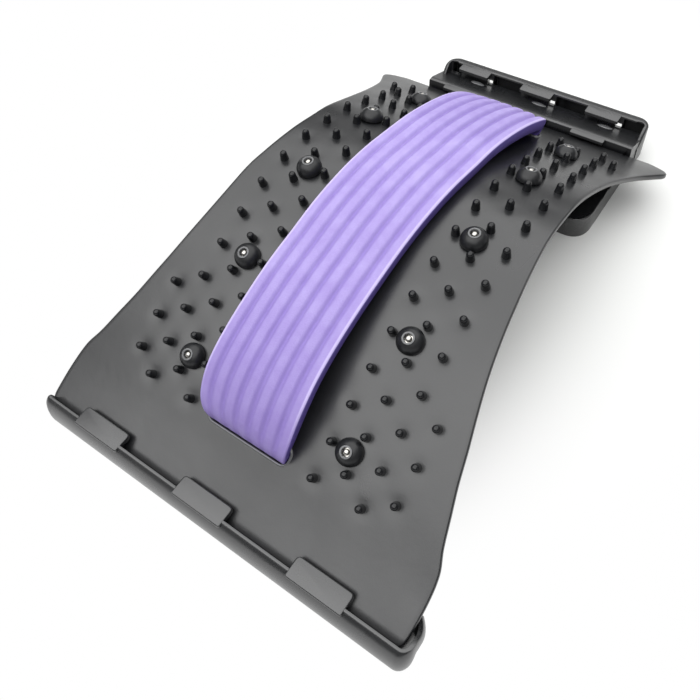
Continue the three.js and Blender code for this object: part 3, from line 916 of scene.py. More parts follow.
@dataclass
class FrontLip:
    """The bar along the base's front edge, with its raised lip, end walls and three hooking tabs."""

    front: float = -186.0
    depth: float = 22.3
    height: float = 22.0
    half_width: float = 122.5
    wall: float = -179.0
    strip_inset: float = 6.9
    # The end walls come down towards the back, and turn in to meet the plate. The left one starts lower.
    end_drop: float = 8.5
    left_drop: float = 9.0
    end_turn: float = 5.0
    end_steps: Sequence[float] = (-3.6, -3.0, -2.2, -1.2, 0.0, 1.4, 2.8, 4.2, 5.7, 7.5)
    turn_from: float = 6.0
    end_inset: float = 1.2
    corner: float = 5.0
    strip_width: float = 1.0
    end_strip_width: float = 2.0
    seat_height: float = 11.6
    seat_depth: float = 10.0
    back_height: float = 8.0
    tab_width: float = 33.0
    tab_pitch: float = 74.0
    tab_shift: float = -3.0
    tab_reach: float = 8.3
    tab_front: float = 3.3
    tab_thickness: float = 2.8
    tab_count: int = 3
    # The bar proper starts this far behind the lip's front and inside its ends.
    bar_inset: Flat = (3.6, 3.5)
    bay_front: float = 6.0
    bay_wall: float = 3.0
    bay_rib: float = 2.5
    bays: int = 8
    skin: float = 2.5

    def wall_path(self) -> list[RimPoint]:
        """Draws the lip's rim line.

        Returns:
            Each point, its outward direction, and 1 on the front or 0 on an end.
        """
        right, front = self.half_width - self.end_inset, self.front + self.strip_inset
        back = self.front + self.depth
        half = []
        for step in self.end_steps:
            bend = max(self.turn_from - step, 0.0) / (self.turn_from - self.end_steps[0])
            turn = 0.9 * bend
            half.append(((right - self.end_turn * bend ** 2, back - step), (math.cos(turn), math.sin(turn)), 0.0))
        steps = 14
        for k in range(steps + 1):
            turn = math.pi / 2 * k / steps
            centre = (right - self.corner, front + self.corner)
            out = (math.cos(turn), -math.sin(turn))
            place = (centre[0] + self.corner * out[0], centre[1] + self.corner * out[1])
            half.append((place, out, smooth_step(0, 1, k / steps)))
        return both_sides(half)

    def wall_section(self, front_share: float, top: float) -> list[Flat]:
        """Draws the lip's section.

        Args:
            front_share: 1 on the front, 0 on an end, and between the two round a corner.
            top: Its height.

        Returns:
            How far each point lies out of the rim line, and its height.
        """
        face = (
            (0.0, 5.7), (2.5, 6.6), (6.5, 6.9), (11.5, 6.3), (16.0, 5.0), (19.2, 3.3), (21.1, 1.5), (21.75, 0.6),
            (22.0, 0.1),
        )
        end = (
            (0.0, -2.6), (2.5, -1.1), (5.0, 0.2), (11.0, 1.15), (16.7, 1.05), (20.0, 0.65), (21.5, 0.3), (22.0, 0.0),
        )
        heights = [0.0, 1.2, 2.5, 4, 6, 8, 10, 12, 14, 15.5, 17, 18, 19, 19.8, 20.5, 21, 21.4, 21.75, 22]
        section = []
        for height in heights:
            out = front_share * read_table(face, height) + (1 - front_share) * read_table(end, height)
            section.append((out, height * top / self.height))
        inner = -self.end_strip_width + (self.end_strip_width - self.strip_width) * front_share
        under = inner + 1.3 * front_share
        section += [(inner + 0.3, top), (inner + 0.06, top - 0.12), (inner, top - 0.4)]
        section += [(inner, 16.2 * top / self.height), (under, 15.6 * top / self.height), (under, 0.0)]
        return section

    def lip(self) -> Shell:
        """Makes the lip and its end walls as one bent wall.

        Returns:
            The wall.
        """
        rings = []
        back = self.front + self.depth
        for (x, y), (out_x, out_y), front_share in self.wall_path():
            drop = self.end_drop * smooth_step(2 * self.turn_from, self.end_steps[0], back - y)
            if x < 0:
                drop = max(drop, self.left_drop * smooth_step(0.9, 0.1, front_share))
            section = self.wall_section(front_share, self.height - drop)
            rings.append([(x + out * out_x, y + out * out_y, z) for out, z in section])
        return loft(rings)

    def shell(self) -> Shell:
        """Makes the whole bar, hollowed from below.

        Returns:
            The bar with its lip and tabs.
        """
        start, back = self.front + self.bar_inset[1], self.front + self.depth
        section = rounded(
            [
                (start, 0.0), (back, 0.0), (back, self.back_height), (self.wall + self.seat_depth, self.seat_height),
                (start, self.seat_height),
            ],
            [0.0, 0.8, 1.5, 2.0, 0.0],
        )
        half = self.half_width - self.bar_inset[0]
        bar = along_x(slab(section, -half, half))
        pitch = (2 * (half - self.bay_wall) + self.bay_rib) / self.bays
        pockets = Shell()
        for x in centred(self.bays, pitch):
            reach = (pitch - self.bay_rib) / 2
            low = (x - reach, self.front + self.bay_front, -3.0)
            pockets.add(box(low, (x + reach, back - self.bay_wall, self.seat_height - self.skin)))
        bar = bar.combined(pockets, Combine.CUT)
        bar.add(self.lip())
        tab_half = self.tab_width / 2
        outer = self.front + self.strip_inset - self.tab_front
        for x in centred(self.tab_count, self.tab_pitch):
            x += self.tab_shift
            tip = self.wall + self.tab_reach
            outline = rounded(rectangle((x - tab_half, outer), (x + tab_half, tip)), [1.6, 1.6, 2.6, 2.6])
            bar.add(slab(outline, self.height - self.tab_thickness, self.height + 0.15, 0.4, 0.9))
        return bar


@dataclass
class HookBlock:
    """The far block, with three rows of hooks over grooves and a rim behind."""

    far: float = 187.9
    near: float = 89.0
    half_width: float = 77.2
    top_half_width: float = 76.0
    shift: float = 2.5
    near_corner: float = 14.0
    far_corner: float = 8.5
    rim_height: float = 23.4
    rim_shift: float = 3.7
    rim_half_width: float = 75.7
    rim_fall: float = 0.9
    rim_thickness: float = 6.8
    end_thickness: float = 2.6
    rim_return: float = 20.0
    rows: int = 3
    row_pitch: float = 25.3
    row_height: float = 22.9
    ridge_width: float = 2.6
    groove_width: float = 7.0
    groove_height: float = 14.2
    free_ledge_width: float = 3.7
    free_ledge_height: float = 15.6
    ridge_height: float = 16.4
    ramp: float = 11.5
    low_height: float = 15.0
    step_round: float = 0.8
    edge_round: float = 2.4
    tab_width: float = 23.6
    tab_pitch: float = 48.7
    tab_reaches: Sequence[float] = (6.2, 3.4, 3.4)
    tab_thickness: float = 2.4
    tab_count: int = 3
    skin: float = 2.5
    side_wall: float = 3.0
    rib: float = 2.5
    bays: int = 5
    window_margin: float = 1.8
    window_depth: float = 4.4
    window_top: float = 16.2
    # The rim's small openings: where each starts and ends about a tab's right edge, its depth, sill, top and slant.
    notch: Place = (-1.7, 1.7, 2.6)
    notch_sill: float = 9.6
    notch_top: float = 17.8
    notch_slant: float = 3.0
    pocket_depth: float = 5.7
    pocket_floor: float = 6.0
    # The pips' radii, their places from the middle of a tab's wall and from the floor, and how strong the painted
    # highlight on them is.
    pip_radii: Place = (5.6, 2.2, 1.2)
    pip_place: Place = (4.6, -6.9, 16.5)
    pip_highlight: float = 0.35

    def wall(self, row: int) -> float:
        """Gives the place along Y of a hook row's wall, counted from the far rim."""
        return self.far - self.rim_thickness - row * self.row_pitch

    def near_edge(self) -> float:
        """Gives the place along Y where the near ramp starts."""
        return self.wall(self.rows - 1) - self.groove_width - self.ramp

    def section(self) -> tuple[list[Flat], list[float]]:
        """Draws the block's side view.

        Returns:
            Its corners, counter-clockwise, and the round of each.
        """
        corners = [(self.near_edge() - 3.0, 0.0), (self.near_edge() - 3.0, self.low_height - 3.0)]
        corners.append((self.near_edge(), self.low_height - 1.0))
        rounds = [0.0, 0.0, 1.5]
        for row in range(self.rows - 1, 0, -1):
            wall = self.wall(row)
            groove = wall - self.groove_width
            corners += [(groove, self.ridge_height), (groove, self.groove_height)]
            corners += [(wall, self.groove_height), (wall, self.row_height), (wall + self.ridge_width, self.row_height)]
            rounds += [1.6, 1.4, 1.4, 0.9, 3.0]
        corners.append((self.wall(0) - self.free_ledge_width, self.free_ledge_height))
        corners += [(self.far - 1.5, self.free_ledge_height), (self.far - 1.5, 0.0)]
        return corners[::-1], (rounds + [1.0, 0.0, 0.0])[::-1]

    def rim(self) -> Shell:
        """Makes the rim wall, which turns the two far corners and runs out along the ends.

        Returns:
            The wall.
        """
        side, far, corner = self.rim_half_width, self.far, self.far_corner
        half = [((side, far - corner - back), (1.0, 0.0), 0.0) for back in (12, 11, 10, 9, 8, 6.5, 5, 3.5, 2, 1)]
        steps = 12
        for k in range(steps + 1):
            turn = math.pi / 2 * k / steps
            out = (math.cos(turn), math.sin(turn))
            place = (side - corner + corner * out[0], far - corner + corner * out[1])
            half.append((place, out, smooth_step(0, 1, k / steps)))
        rings = []
        for (x, y), (out_x, out_y), share in both_sides(half):
            rise = smooth_step(far - self.rim_return, far - corner - 1.5, y)
            top = self.free_ledge_height - 0.5 + (self.rim_height - self.free_ledge_height + 0.5) * rise
            inner = self.end_thickness + (self.rim_thickness - self.end_thickness) * share
            fall = self.rim_fall * (0.35 + 0.65 * share)
            section = [(0.6, 0.0), (0.2, top - fall - 1.4), (-0.1, top - fall - 0.7)]
            section += [(-0.5, top - fall - 0.25), (-1.0, top - fall), (-inner + 0.8, top)]
            section += [(-inner + 0.3, top - 0.1), (-inner, top - 0.5), (-inner, 0.0)]
            rings.append([(x + out * out_x + self.rim_shift, y + out * out_y, z) for out, z in section[::-1]])
        return loft(rings)

    def pips(self) -> Shell:
        """Makes the low domed pips, one in front of each tab of the last row.

        Returns:
            The pips.
        """
        turns = [math.pi * k / 16 - math.pi / 2 for k in range(1, 16)]
        wide, deep, high = self.pip_radii
        ball = turned([(math.cos(turn), math.sin(turn)) for turn in turns], 40)
        ball = ball.moved(lambda p: (wide * p[0], deep * p[1], high * p[2]))
        over, ahead, height = self.pip_place
        pips = Shell()
        for x, wall in self.tab_places(0):
            pips.add(ball.moved(lambda p, x=x: (p[0] + x + over, p[1] + wall + ahead, p[2] + height)))
        return pips

    def pockets(self) -> Shell:
        """Makes the cutters for the rim's hollows between and beside the tabs.

        Returns:
            The cutters.
        """
        edges = [self.rim_shift - self.rim_half_width + self.end_thickness + 1.0]
        for x, wall in self.tab_places(0):
            edges += [x - self.tab_width / 2 - 0.5, x + self.tab_width / 2 + self.notch[1] + 0.6]
        edges.append(self.rim_shift + self.rim_half_width - self.end_thickness - 1.0)
        cutters = Shell()
        for low, high in zip(edges[::2], edges[1::2]):
            outline = rounded(rectangle((low, wall - 0.6), (high, wall + self.pocket_depth)), [0.3, 0.3, 0.8, 0.8])
            cutters.add(slab(outline, self.pocket_floor, self.rim_height - 1.1))
        return cutters

    def tab_places(self, row: int) -> list[Flat]:
        """Gives the middle and the wall of each tab in a row."""
        return [(x, self.wall(row)) for x in centred(self.tab_count, self.tab_pitch)]

    def openings(self) -> Shell:
        """Makes the cutters for the openings under the tabs of the rows that have a ridge behind them.

        Returns:
            The cutters.
        """
        reach = self.tab_width / 2 + self.window_margin
        cutters = Shell()
        for row in range(1, self.rows):
            for x, wall in self.tab_places(row):
                outline = rectangle((x - reach, wall - self.window_depth), (x + reach, wall - 0.2))
                cutters.add(slab(rounded(outline, [0.8] * 4), self.groove_height - 4.0, self.window_top))
        return cutters

    def notches(self) -> Shell:
        """Makes the cutters for the rim's small openings, one at the right end of each tab.

        Returns:
            The cutters.
        """
        start, end, depth = self.notch
        cutters = Shell()
        for x, wall in self.tab_places(0):
            edge = x + self.tab_width / 2
            near, far = wall - depth, self.far + 3.0
            outline = [(edge + start, near), (edge + end, near), (edge + end, far)]
            outline.append((edge + start - self.notch_slant, far))
            cutters.add(slab(rounded(outline, [1.0] * 4), self.notch_sill, self.notch_top))
        return cutters

    def shell(self) -> Shell:
        """Makes the block, hollowed from below, without its pips.

        Returns:
            The block.
        """
        corners, rounds = self.section()
        body = along_x(slab(rounded(corners, rounds), self.shift - self.half_width, self.shift + self.half_width))
        deep = [(y, z if z else -self.rim_height) for y, z in corners]
        cavity = shrunk(deep, self.skin)
        pitch = (2 * (self.top_half_width - self.side_wall) + self.rib) / self.bays
        hollows = Shell()
        for x in centred(self.bays, pitch):
            reach = (pitch - self.rib) / 2
            hollows.add(along_x(slab(cavity, self.shift + x - reach, self.shift + x + reach)))
        rim_cuts = self.notches().add(self.pockets())
        body = body.combined(hollows, Combine.CUT).combined(self.openings().add(rim_cuts), Combine.CUT)
        outline = rounded(
            rectangle((-self.half_width, self.near), (self.half_width, self.far)),
            [self.near_corner, self.near_corner, self.far_corner * 1.3, self.far_corner * 1.3], 10,
        )
        # The body is trimmed to the outline from above, whose sides lean in. Its near part has a closed, low top.
        lean = self.half_width - self.top_half_width
        outline = [(x + self.shift, y) for x, y in outline]
        hull = slab(outline, 0.0, self.rim_height + 0.6, 0.0, self.edge_round, lean, 6)
        body = body.combined(hull, Combine.KEEP_SHARED)
        step = slab(outline, 0.0, self.low_height, 0.4, self.step_round, lean * self.low_height / self.rim_height, 8)
        kept = box((-self.half_width - 9, self.near - 9, -9.0), (self.half_width + 9, self.near_edge() + 4, 30.0))
        body.add(step.combined(kept, Combine.KEEP_SHARED))
        body.add(self.rim().combined(rim_cuts, Combine.CUT))
        for row in range(self.rows):
            top = self.rim_height if row == 0 else self.row_height
            for x, wall in self.tab_places(row):
                half = self.tab_width / 2
                outline = rectangle((x - half, wall - self.tab_reaches[row]), (x + half, wall + 1.2))
                outline = rounded(outline, [1.2, 1.2, 0.8, 0.8])
                body.add(slab(outline, top - self.tab_thickness, top + 0.03, 0.4, 0.45))
        return body


@dataclass
class BaseTray:
    """The flat middle of the base, with low walls and ribs, that ties the front bar to the hook block."""

    bar_back: float = -163.7
    bar_half_width: float = 118.5
    under_bar: float = 14.0
    wing_length: float = 46.0
    spine_half_width: float = 50.0
    near: float = 89.0
    end: float = 90.0
    wall_height: float = 8.0
    wall_thickness: float = 3.0
    floor: float = 2.5
    rib: float = 2.5
    rib_pitch: float = 25.0
    cross_ribs: int = 7
    bar_round: float = 5.0
    inner_round: float = 18.0

    def outline(self) -> list[Flat]:
        """Draws the tray from above.

        Returns:
            Its outline, counter-clockwise.
        """
        wing_end = self.bar_back + self.wing_length
        right = [
            (self.bar_half_width, self.bar_back - self.under_bar), (self.bar_half_width, self.bar_back),
            (self.spine_half_width, wing_end), (self.spine_half_width, self.near + self.wall_thickness),
        ]
        left = [(-x, y) for x, y in right[::-1]]
        radii = [0.0, self.bar_round, self.inner_round, 0.0]
        return rounded(right + left, radii + radii[::-1], 10)

    def shell(self) -> Shell:
        """Makes the tray, with its walls and ribs.

        Returns:
            The tray.
        """
        outline = self.outline()
        tray = slab(outline, 0.0, self.wall_height, 0.4, 1.4)
        recess = slab(shrunk(outline, self.wall_thickness), self.floor, self.wall_height + 2, 0.8, 0.0)
        tray = tray.combined(recess, Combine.CUT)
        half, start = self.rib / 2, self.bar_back + self.wing_length
        bars = [rectangle((x - half, self.bar_back), (x + half, self.end)) for x in centred(3, self.rib_pitch)]
        pitch = (self.near - start) / (self.cross_ribs + 1)
        reach = self.spine_half_width - self.wall_thickness / 2
        for i in range(self.cross_ribs):
            y = start + (i + 1) * pitch
            bars.append(rectangle((-reach, y - half), (reach, y + half)))
        for bar in bars:
            tray.add(slab(bar, self.floor - 0.5, self.wall_height - self.floor, 0.0, 0.5))
        return tray


@dataclass(frozen=True)
class MouldedAbs:
    """Black ABS, injection moulded in a lightly grained tool."""

    name: str
    # Carbon black takes nearly all diffuse light, so the moulding is grey only where its skin mirrors a light.
    colour: str = "141517"
    worn_colour: str = "1f2022"
    # A painted highlight: pale grey on the slot beads, the caps' window edges and the pips, where their rounded tops
    # catch the light.
    wear_and_highlight_colour: str = "a3a4a6"
    roughness: float = 0.31
    roughness_spread: float = 0.09
    shine: float = 0.85
    # Round parts such as the nodes come from drilled and polished holes in the tool, so their highlights are smaller
    # and sharper, and the rest of them stays dark.
    polished_roughness: float = 0.17
    polished_shine: float = 0.4
    # The tool's grain is about 0.15 mm across, drawn at 0.8 mm so that it shows in the render.
    grain: float = 0.8
    grain_depth: float = 0.022
    # Sinking of the wall as it cools, over about 9 mm, makes the lights in it waver.
    ripple: float = 9.0
    ripple_depth: float = 0.07
    # Handling leaves duller and shinier smears, about 45 mm long.
    smear: float = 45.0

    def material(self) -> bpy.types.Material:
        """Builds the material.

        Returns:
            The material.
        """
        material = bpy.data.materials.new(self.name)
        tree = emptied(material)
        place = add_node(tree, "ShaderNodeTexCoord").outputs["Object"]
        grain = add_node(
            tree, "ShaderNodeTexNoise", {"Scale": per_metre(self.grain), "Detail": 3.0, "Roughness": 0.6},
            {"Vector": place},
        )
        ripple = add_node(
            tree, "ShaderNodeTexNoise", {"Scale": per_metre(self.ripple), "Detail": 2.0}, {"Vector": place},
        )
        smear = add_node(
            tree, "ShaderNodeTexNoise", {"Scale": per_metre(self.smear), "Detail": 4.0, "Distortion": 0.6},
            {"Vector": place},
        )
        low, high = self.roughness - self.roughness_spread / 2, self.roughness + self.roughness_spread / 2
        spread = add_node(
            tree, "ShaderNodeMapRange", {1: 0.3, 2: 0.7, 3: low, 4: high}, {"Value": smear.outputs[0]},
        )
        polished = add_node(tree, "ShaderNodeAttribute", {"attribute_name": "polished"})
        gloss = add_node(
            tree, "ShaderNodeMix", {"data_type": "FLOAT", 3: self.polished_roughness},
            {0: polished.outputs["Fac"], 2: spread.outputs[0]},
        )
        shine = add_node(
            tree, "ShaderNodeMix", {"data_type": "FLOAT", 2: self.shine, 3: self.polished_shine},
            {0: polished.outputs["Fac"]},
        )
        skin = add_node(
            tree, "ShaderNodeMix", {"data_type": "RGBA", 6: linear(self.colour), 7: linear(self.worn_colour)},
            {0: grain.outputs[0]},
        )
        # The mask of the painted highlight, which mixes in the pale grey.
        painted_highlight = add_node(tree, "ShaderNodeAttribute", {"attribute_name": "painted_highlight"})
        shade = add_node(
            tree, "ShaderNodeMix", {"data_type": "RGBA", 7: linear(self.wear_and_highlight_colour)},
            {0: painted_highlight.outputs["Fac"], 6: skin.outputs[2]},
        )
        fine = add_node(
            tree, "ShaderNodeBump", {"Strength": 1.0, "Distance": self.grain_depth * METRES},
            {"Height": grain.outputs[0]},
        )
        broad = add_node(
            tree, "ShaderNodeBump", {"Strength": 1.0, "Distance": self.ripple_depth * METRES},
            {"Height": ripple.outputs[0], "Normal": fine.outputs[0]},
        )
        surface = add_node(
            tree, "ShaderNodeBsdfPrincipled", {"IOR": 1.54, "Metallic": 0.0},
            {
                "Base Color": shade.outputs[2], "Roughness": gloss.outputs[0], "Normal": broad.outputs[0],
                "Specular IOR Level": shine.outputs[0],
            },
        )
        add_node(tree, "ShaderNodeOutputMaterial", links={"Surface": surface.outputs[0]})
        return material


@dataclass(frozen=True)
class EvaFoam:
    """Closed-cell EVA foam, heat pressed into ribs and cut at its sides, with painted shade and a painted highlight in
    its colour.
    """

    name: str
    # Lavender pigment in a dull, slightly chalky skin.
    colour: str = "b8aae3"
    mottle_colour: str = "ab9ad9"
    # Painted shade in the rib valleys, at the thin ends and on the front slope, deeper in colour.
    painted_shade_colour: str = "8672ba"
    # Painted shade on the side faces, which turn away from the light.
    side_shade_colour: str = "6757a6"
    # A painted highlight, a thin light line along the top edges.
    edge_highlight_colour: str = "d6caf6"
    # How much of the painted shade colour the deepest valley shows.
    deepest_shade: float = 0.7
    roughness: float = 0.8
    # The pigment is mixed in unevenly, in clouds about 14 mm wide.
    cloud: float = 14.0
    # Cells are about 0.3 mm across, drawn at 0.9 mm so that they show.
    cell: float = 0.9
    cell_depth: float = 0.09
    # The hot press leaves a faint cross wave in the valleys, about every 14 mm.
    mark: float = 13.82
    mark_depth: float = 0.12

    def material(self) -> bpy.types.Material:
        """Builds the material.

        Returns:
            The material.
        """
        material = bpy.data.materials.new(self.name)
        tree = emptied(material)
        place = add_node(tree, "ShaderNodeTexCoord").outputs["Object"]
        # Painted shade of the valleys, the ends and the front slope.
        pressed = add_node(tree, "ShaderNodeAttribute", {"attribute_name": "pressed"}).outputs["Fac"]
        # Painted shade of the side faces.
        cut = add_node(tree, "ShaderNodeAttribute", {"attribute_name": "cut"}).outputs["Fac"]
        # Painted highlight of the top edges.
        glazed = add_node(tree, "ShaderNodeAttribute", {"attribute_name": "glazed"}).outputs["Fac"]
        cells = add_node(
            tree, "ShaderNodeTexVoronoi", {"Scale": per_metre(self.cell)}, {"Vector": place},
        )
        cloud = add_node(
            tree, "ShaderNodeTexNoise", {"Scale": per_metre(self.cloud), "Detail": 6.0, "Roughness": 0.7},
            {"Vector": place},
        )
        mottle = add_node(
            tree, "ShaderNodeMapRange", {1: 0.35, 2: 0.65, 3: 0.0, 4: 1.0}, {"Value": cloud.outputs[0]},
        )
        skin = add_node(
            tree, "ShaderNodeMix",
            {"data_type": "RGBA", 6: linear(self.colour), 7: linear(self.mottle_colour)}, {0: mottle.outputs[0]},
        )
        # Mixes in the painted shade of the valleys and ends.
        depth = add_node(tree, "ShaderNodeMapRange", {1: 0.05, 2: 1.0, 3: 0.0, 4: self.deepest_shade}, {"Value": pressed})
        valley_shade = add_node(
            tree, "ShaderNodeMix", {"data_type": "RGBA", 7: linear(self.painted_shade_colour)},
            {0: depth.outputs[0], 6: skin.outputs[2]},
        )
        # Mixes in the painted shade of the side faces.
        sides = add_node(
            tree, "ShaderNodeMix", {"data_type": "RGBA", 7: linear(self.side_shade_colour)},
            {0: cut, 6: valley_shade.outputs[2]},
        )
        # Mixes in the painted highlight of the top edges.
        shade = add_node(
            tree, "ShaderNodeMix", {"data_type": "RGBA", 7: linear(self.edge_highlight_colour)},
            {0: glazed, 6: sides.outputs[2]},
        )
        relief = add_node(
            tree, "ShaderNodeBump", {"Strength": 1.0, "Distance": self.cell_depth * METRES},
            {"Height": cells.outputs[0]},
        )
        # The wave texture repeats after a length of pi / 10 at a scale of 1.
        bands = add_node(
            tree, "ShaderNodeTexWave",
            {"bands_direction": "Y", "Scale": per_metre(self.mark) * math.pi / 10, "Distortion": 1.5},
            {"Vector": place},
        )
        marked = add_node(
            tree, "ShaderNodeMath", {"operation": "MULTIPLY"}, {0: bands.outputs["Fac"], 1: pressed},
        )
        pressing = add_node(
            tree, "ShaderNodeBump", {"Strength": 1.0, "Distance": self.mark_depth * METRES},
            {"Height": marked.outputs[0], "Normal": relief.outputs[0]},
        )
        surface = add_node(
            tree, "ShaderNodeBsdfPrincipled",
            {"Roughness": self.roughness, "IOR": 1.45, "Specular IOR Level": 0.3},
            {"Base Color": shade.outputs[2], "Normal": pressing.outputs[0]},
        )
        add_node(tree, "ShaderNodeOutputMaterial", links={"Surface": surface.outputs[0]})
        return material


@dataclass(frozen=True)
class NickelPlate:
    """Bright nickel plating over a sintered magnet, with faint tumbling marks."""

    name: str
    # Nickel mirrors a little warmer than chrome, and duller where the plating has rubbed on other magnets.
    colour: str = "d6d4cf"
    wear_and_highlight_colour: str = "b9b6b0"
    roughness: float = 0.16
    # Tumbling leaves scratches some 0.05 mm wide, drawn at 0.8 mm so that they show.
    mark: float = 0.8

    def material(self) -> bpy.types.Material:
        """Builds the material.

        Returns:
            The material.
        """
        material = bpy.data.materials.new(self.name)
        tree = emptied(material)
        place = add_node(tree, "ShaderNodeTexCoord").outputs["Object"]
        marks = add_node(
            tree, "ShaderNodeTexNoise", {"Scale": per_metre(self.mark), "Detail": 4.0}, {"Vector": place},
        )
        gloss = add_node(
            tree, "ShaderNodeMapRange", {3: self.roughness - 0.06, 4: self.roughness + 0.1},
            {"Value": marks.outputs[0]},
        )
        shade = add_node(
            tree, "ShaderNodeMix", {"data_type": "RGBA", 6: linear(self.colour), 7: linear(self.wear_and_highlight_colour)},
            {0: marks.outputs[0]},
        )
        surface = add_node(
            tree, "ShaderNodeBsdfPrincipled", {"Metallic": 1.0},
            {"Base Color": shade.outputs[2], "Roughness": gloss.outputs[0]},
        )
        add_node(tree, "ShaderNodeOutputMaterial", links={"Surface": surface.outputs[0]})
        return material


@dataclass
class Studio:
    """The floor, the lamp, the surroundings and the camera."""

    floor_size: float = 12.0
    floor_colour: str = "f6f7f5"
    # The shadow is kept round a place under the arch's far half, in metres, and the floor looks white beyond it.
    shadow_middle: Place = (0.0, 0.1, 0.0)
    shadow_stretch: Place = (1.35, 1.0, 1.0)
    shadow_reach: float = 0.13
    white_from: float = 0.28
    least_white: float = 0.05
    # Width, depth, place and power of the broad lamp overhead and of the small one before it on the left.
    lamps: Sequence[tuple[float, float, Place, float]] = (
        (1.8, 2.7, (-0.12, 0.25, 0.95), 25.0), (1.3, 0.9, (-0.5, -0.55, 0.9), 1.7),
    )
    # How high a way points where the ceiling starts and ends, and how light the room is below and above.
    room: tuple[float, float, float, float] = (0.1, 0.7, 0.12, 0.25)
    # The way to each pale wall, before the object on the left and behind it, how light it is, and where it fades.
    walls: Sequence[tuple[Place, float, float, float]] = (
        ((-0.76, -0.58, 0.29), 0.1, 0.75, 0.95), ((-0.13, 0.98, 0.15), 0.25, 0.86, 0.98),
    )
    lens: float = 34.944
    camera_place: Place = (0.15031, -0.21033, 0.34302)
    camera_right: Place = (0.814642, 0.571932, -0.096187)
    camera_up: Place = (-0.446743, 0.724584, 0.524785)
    camera_back: Place = (0.369837, -0.384541, 0.845783)

    def camera(self) -> None:
        """Sets the camera at the photograph's angle."""
        data = bpy.data.cameras.new("photo_camera")
        data.lens = self.lens
        data.sensor_width = 36.0
        data.clip_start = 0.01
        camera = bpy.data.objects.new("photo_camera", data)
        turn = Matrix([self.camera_right, self.camera_up, self.camera_back]).transposed().to_4x4()
        camera.matrix_world = Matrix.Translation(self.camera_place) @ turn
        bpy.context.scene.collection.objects.link(camera)
        bpy.context.scene.camera = camera

    def floor(self) -> None:
        """Lays the floor, which looks white and keeps the object's shadow."""
        half = self.floor_size / 2 / METRES
        plane = Shell([(x, y, 0.0) for x, y in rectangle((-half, -half), (half, half))], [(0, 1, 2, 3)])
        floor = bpy.data.objects.new("floor", plane.mesh("floor"))
        bpy.context.scene.collection.objects.link(floor)
        material = bpy.data.materials.new("white_table_laminate")
        tree = emptied(material)
        ray = add_node(tree, "ShaderNodeLightPath")
        seen = add_node(
            tree, "ShaderNodeMath", {"operation": "MAXIMUM"},
            {0: ray.outputs["Is Camera Ray"], 1: ray.outputs["Is Glossy Ray"]},
        )
        seen = add_node(
            tree, "ShaderNodeMath", {"operation": "MAXIMUM"},
            {0: seen.outputs[0], 1: ray.outputs["Is Transmission Ray"]},
        )
        place = add_node(tree, "ShaderNodeTexCoord").outputs["Object"]
        offset = add_node(
            tree, "ShaderNodeVectorMath", {"operation": "SUBTRACT", 1: self.shadow_middle}, {0: place},
        ).outputs["Vector"]
        spread = add_node(
            tree, "ShaderNodeVectorMath", {"operation": "MULTIPLY", 1: self.shadow_stretch}, {0: offset},
        ).outputs["Vector"]
        away = add_node(tree, "ShaderNodeVectorMath", {"operation": "LENGTH"}, {0: spread}).outputs["Value"]
        far = add_node(
            tree, "ShaderNodeMapRange",
            {"interpolation_type": "SMOOTHSTEP", 1: self.shadow_reach, 2: self.white_from, 3: self.least_white},
            {"Value": away},
        )
        white = add_node(tree, "ShaderNodeMath", {"operation": "MULTIPLY"}, {0: seen.outputs[0], 1: far.outputs[0]})
        paint = add_node(tree, "ShaderNodeBsdfDiffuse", {"Color": linear(self.floor_colour)})
        glow = add_node(tree, "ShaderNodeEmission", {"Color": (1.0, 1.0, 1.0, 1.0), "Strength": 1.0})
        both = add_node(
            tree, "ShaderNodeMixShader", links={0: white.outputs[0], 1: paint.outputs[0], 2: glow.outputs[0]},
        )
        add_node(tree, "ShaderNodeOutputMaterial", links={"Surface": both.outputs[0]})
        floor.data.materials.append(material)

    def lights(self) -> None:
        """Hangs the soft lamps over the object and sets the surroundings."""
        for width, depth, place, power in self.lamps:
            data = bpy.data.lights.new("softbox", "AREA")
            data.shape = "RECTANGLE"
            data.size = width
            data.size_y = depth
            data.energy = power
            lamp = bpy.data.objects.new("softbox", data)
            lamp.location = place
            bpy.context.scene.collection.objects.link(lamp)
        world = bpy.data.worlds.new("studio")
        tree = emptied(world)
        way = add_node(tree, "ShaderNodeTexCoord").outputs["Generated"]
        up = add_node(tree, "ShaderNodeSeparateXYZ", links={0: way}).outputs["Z"]
        level = add_node(tree, "ShaderNodeMapRange", dict(enumerate(self.room, 1)), {"Value": up})
        for wall_way, light, edge, middle in self.walls:
            facing = add_node(
                tree, "ShaderNodeVectorMath", {"operation": "DOT_PRODUCT", 1: wall_way}, {0: way},
            ).outputs["Value"]
            wall = add_node(
                tree, "ShaderNodeMapRange",
                {"interpolation_type": "SMOOTHSTEP", 1: edge, 2: middle, 3: 0.0, 4: light}, {"Value": facing},
            )
            level = add_node(tree, "ShaderNodeMath", {"operation": "ADD"}, {0: level.outputs[0], 1: wall.outputs[0]})
        sky = add_node(
            tree, "ShaderNodeBackground", {"Color": (1.0, 1.0, 1.0, 1.0)}, {"Strength": level.outputs[0]},
        )
        add_node(tree, "ShaderNodeOutputWorld", links={"Surface": sky.outputs[0]})
        bpy.context.scene.world = world

    def build(self) -> None:
        """Sets up the whole studio."""
        self.camera()
        self.floor()
        self.lights()
        bpy.context.scene.view_settings.view_transform = "Standard"


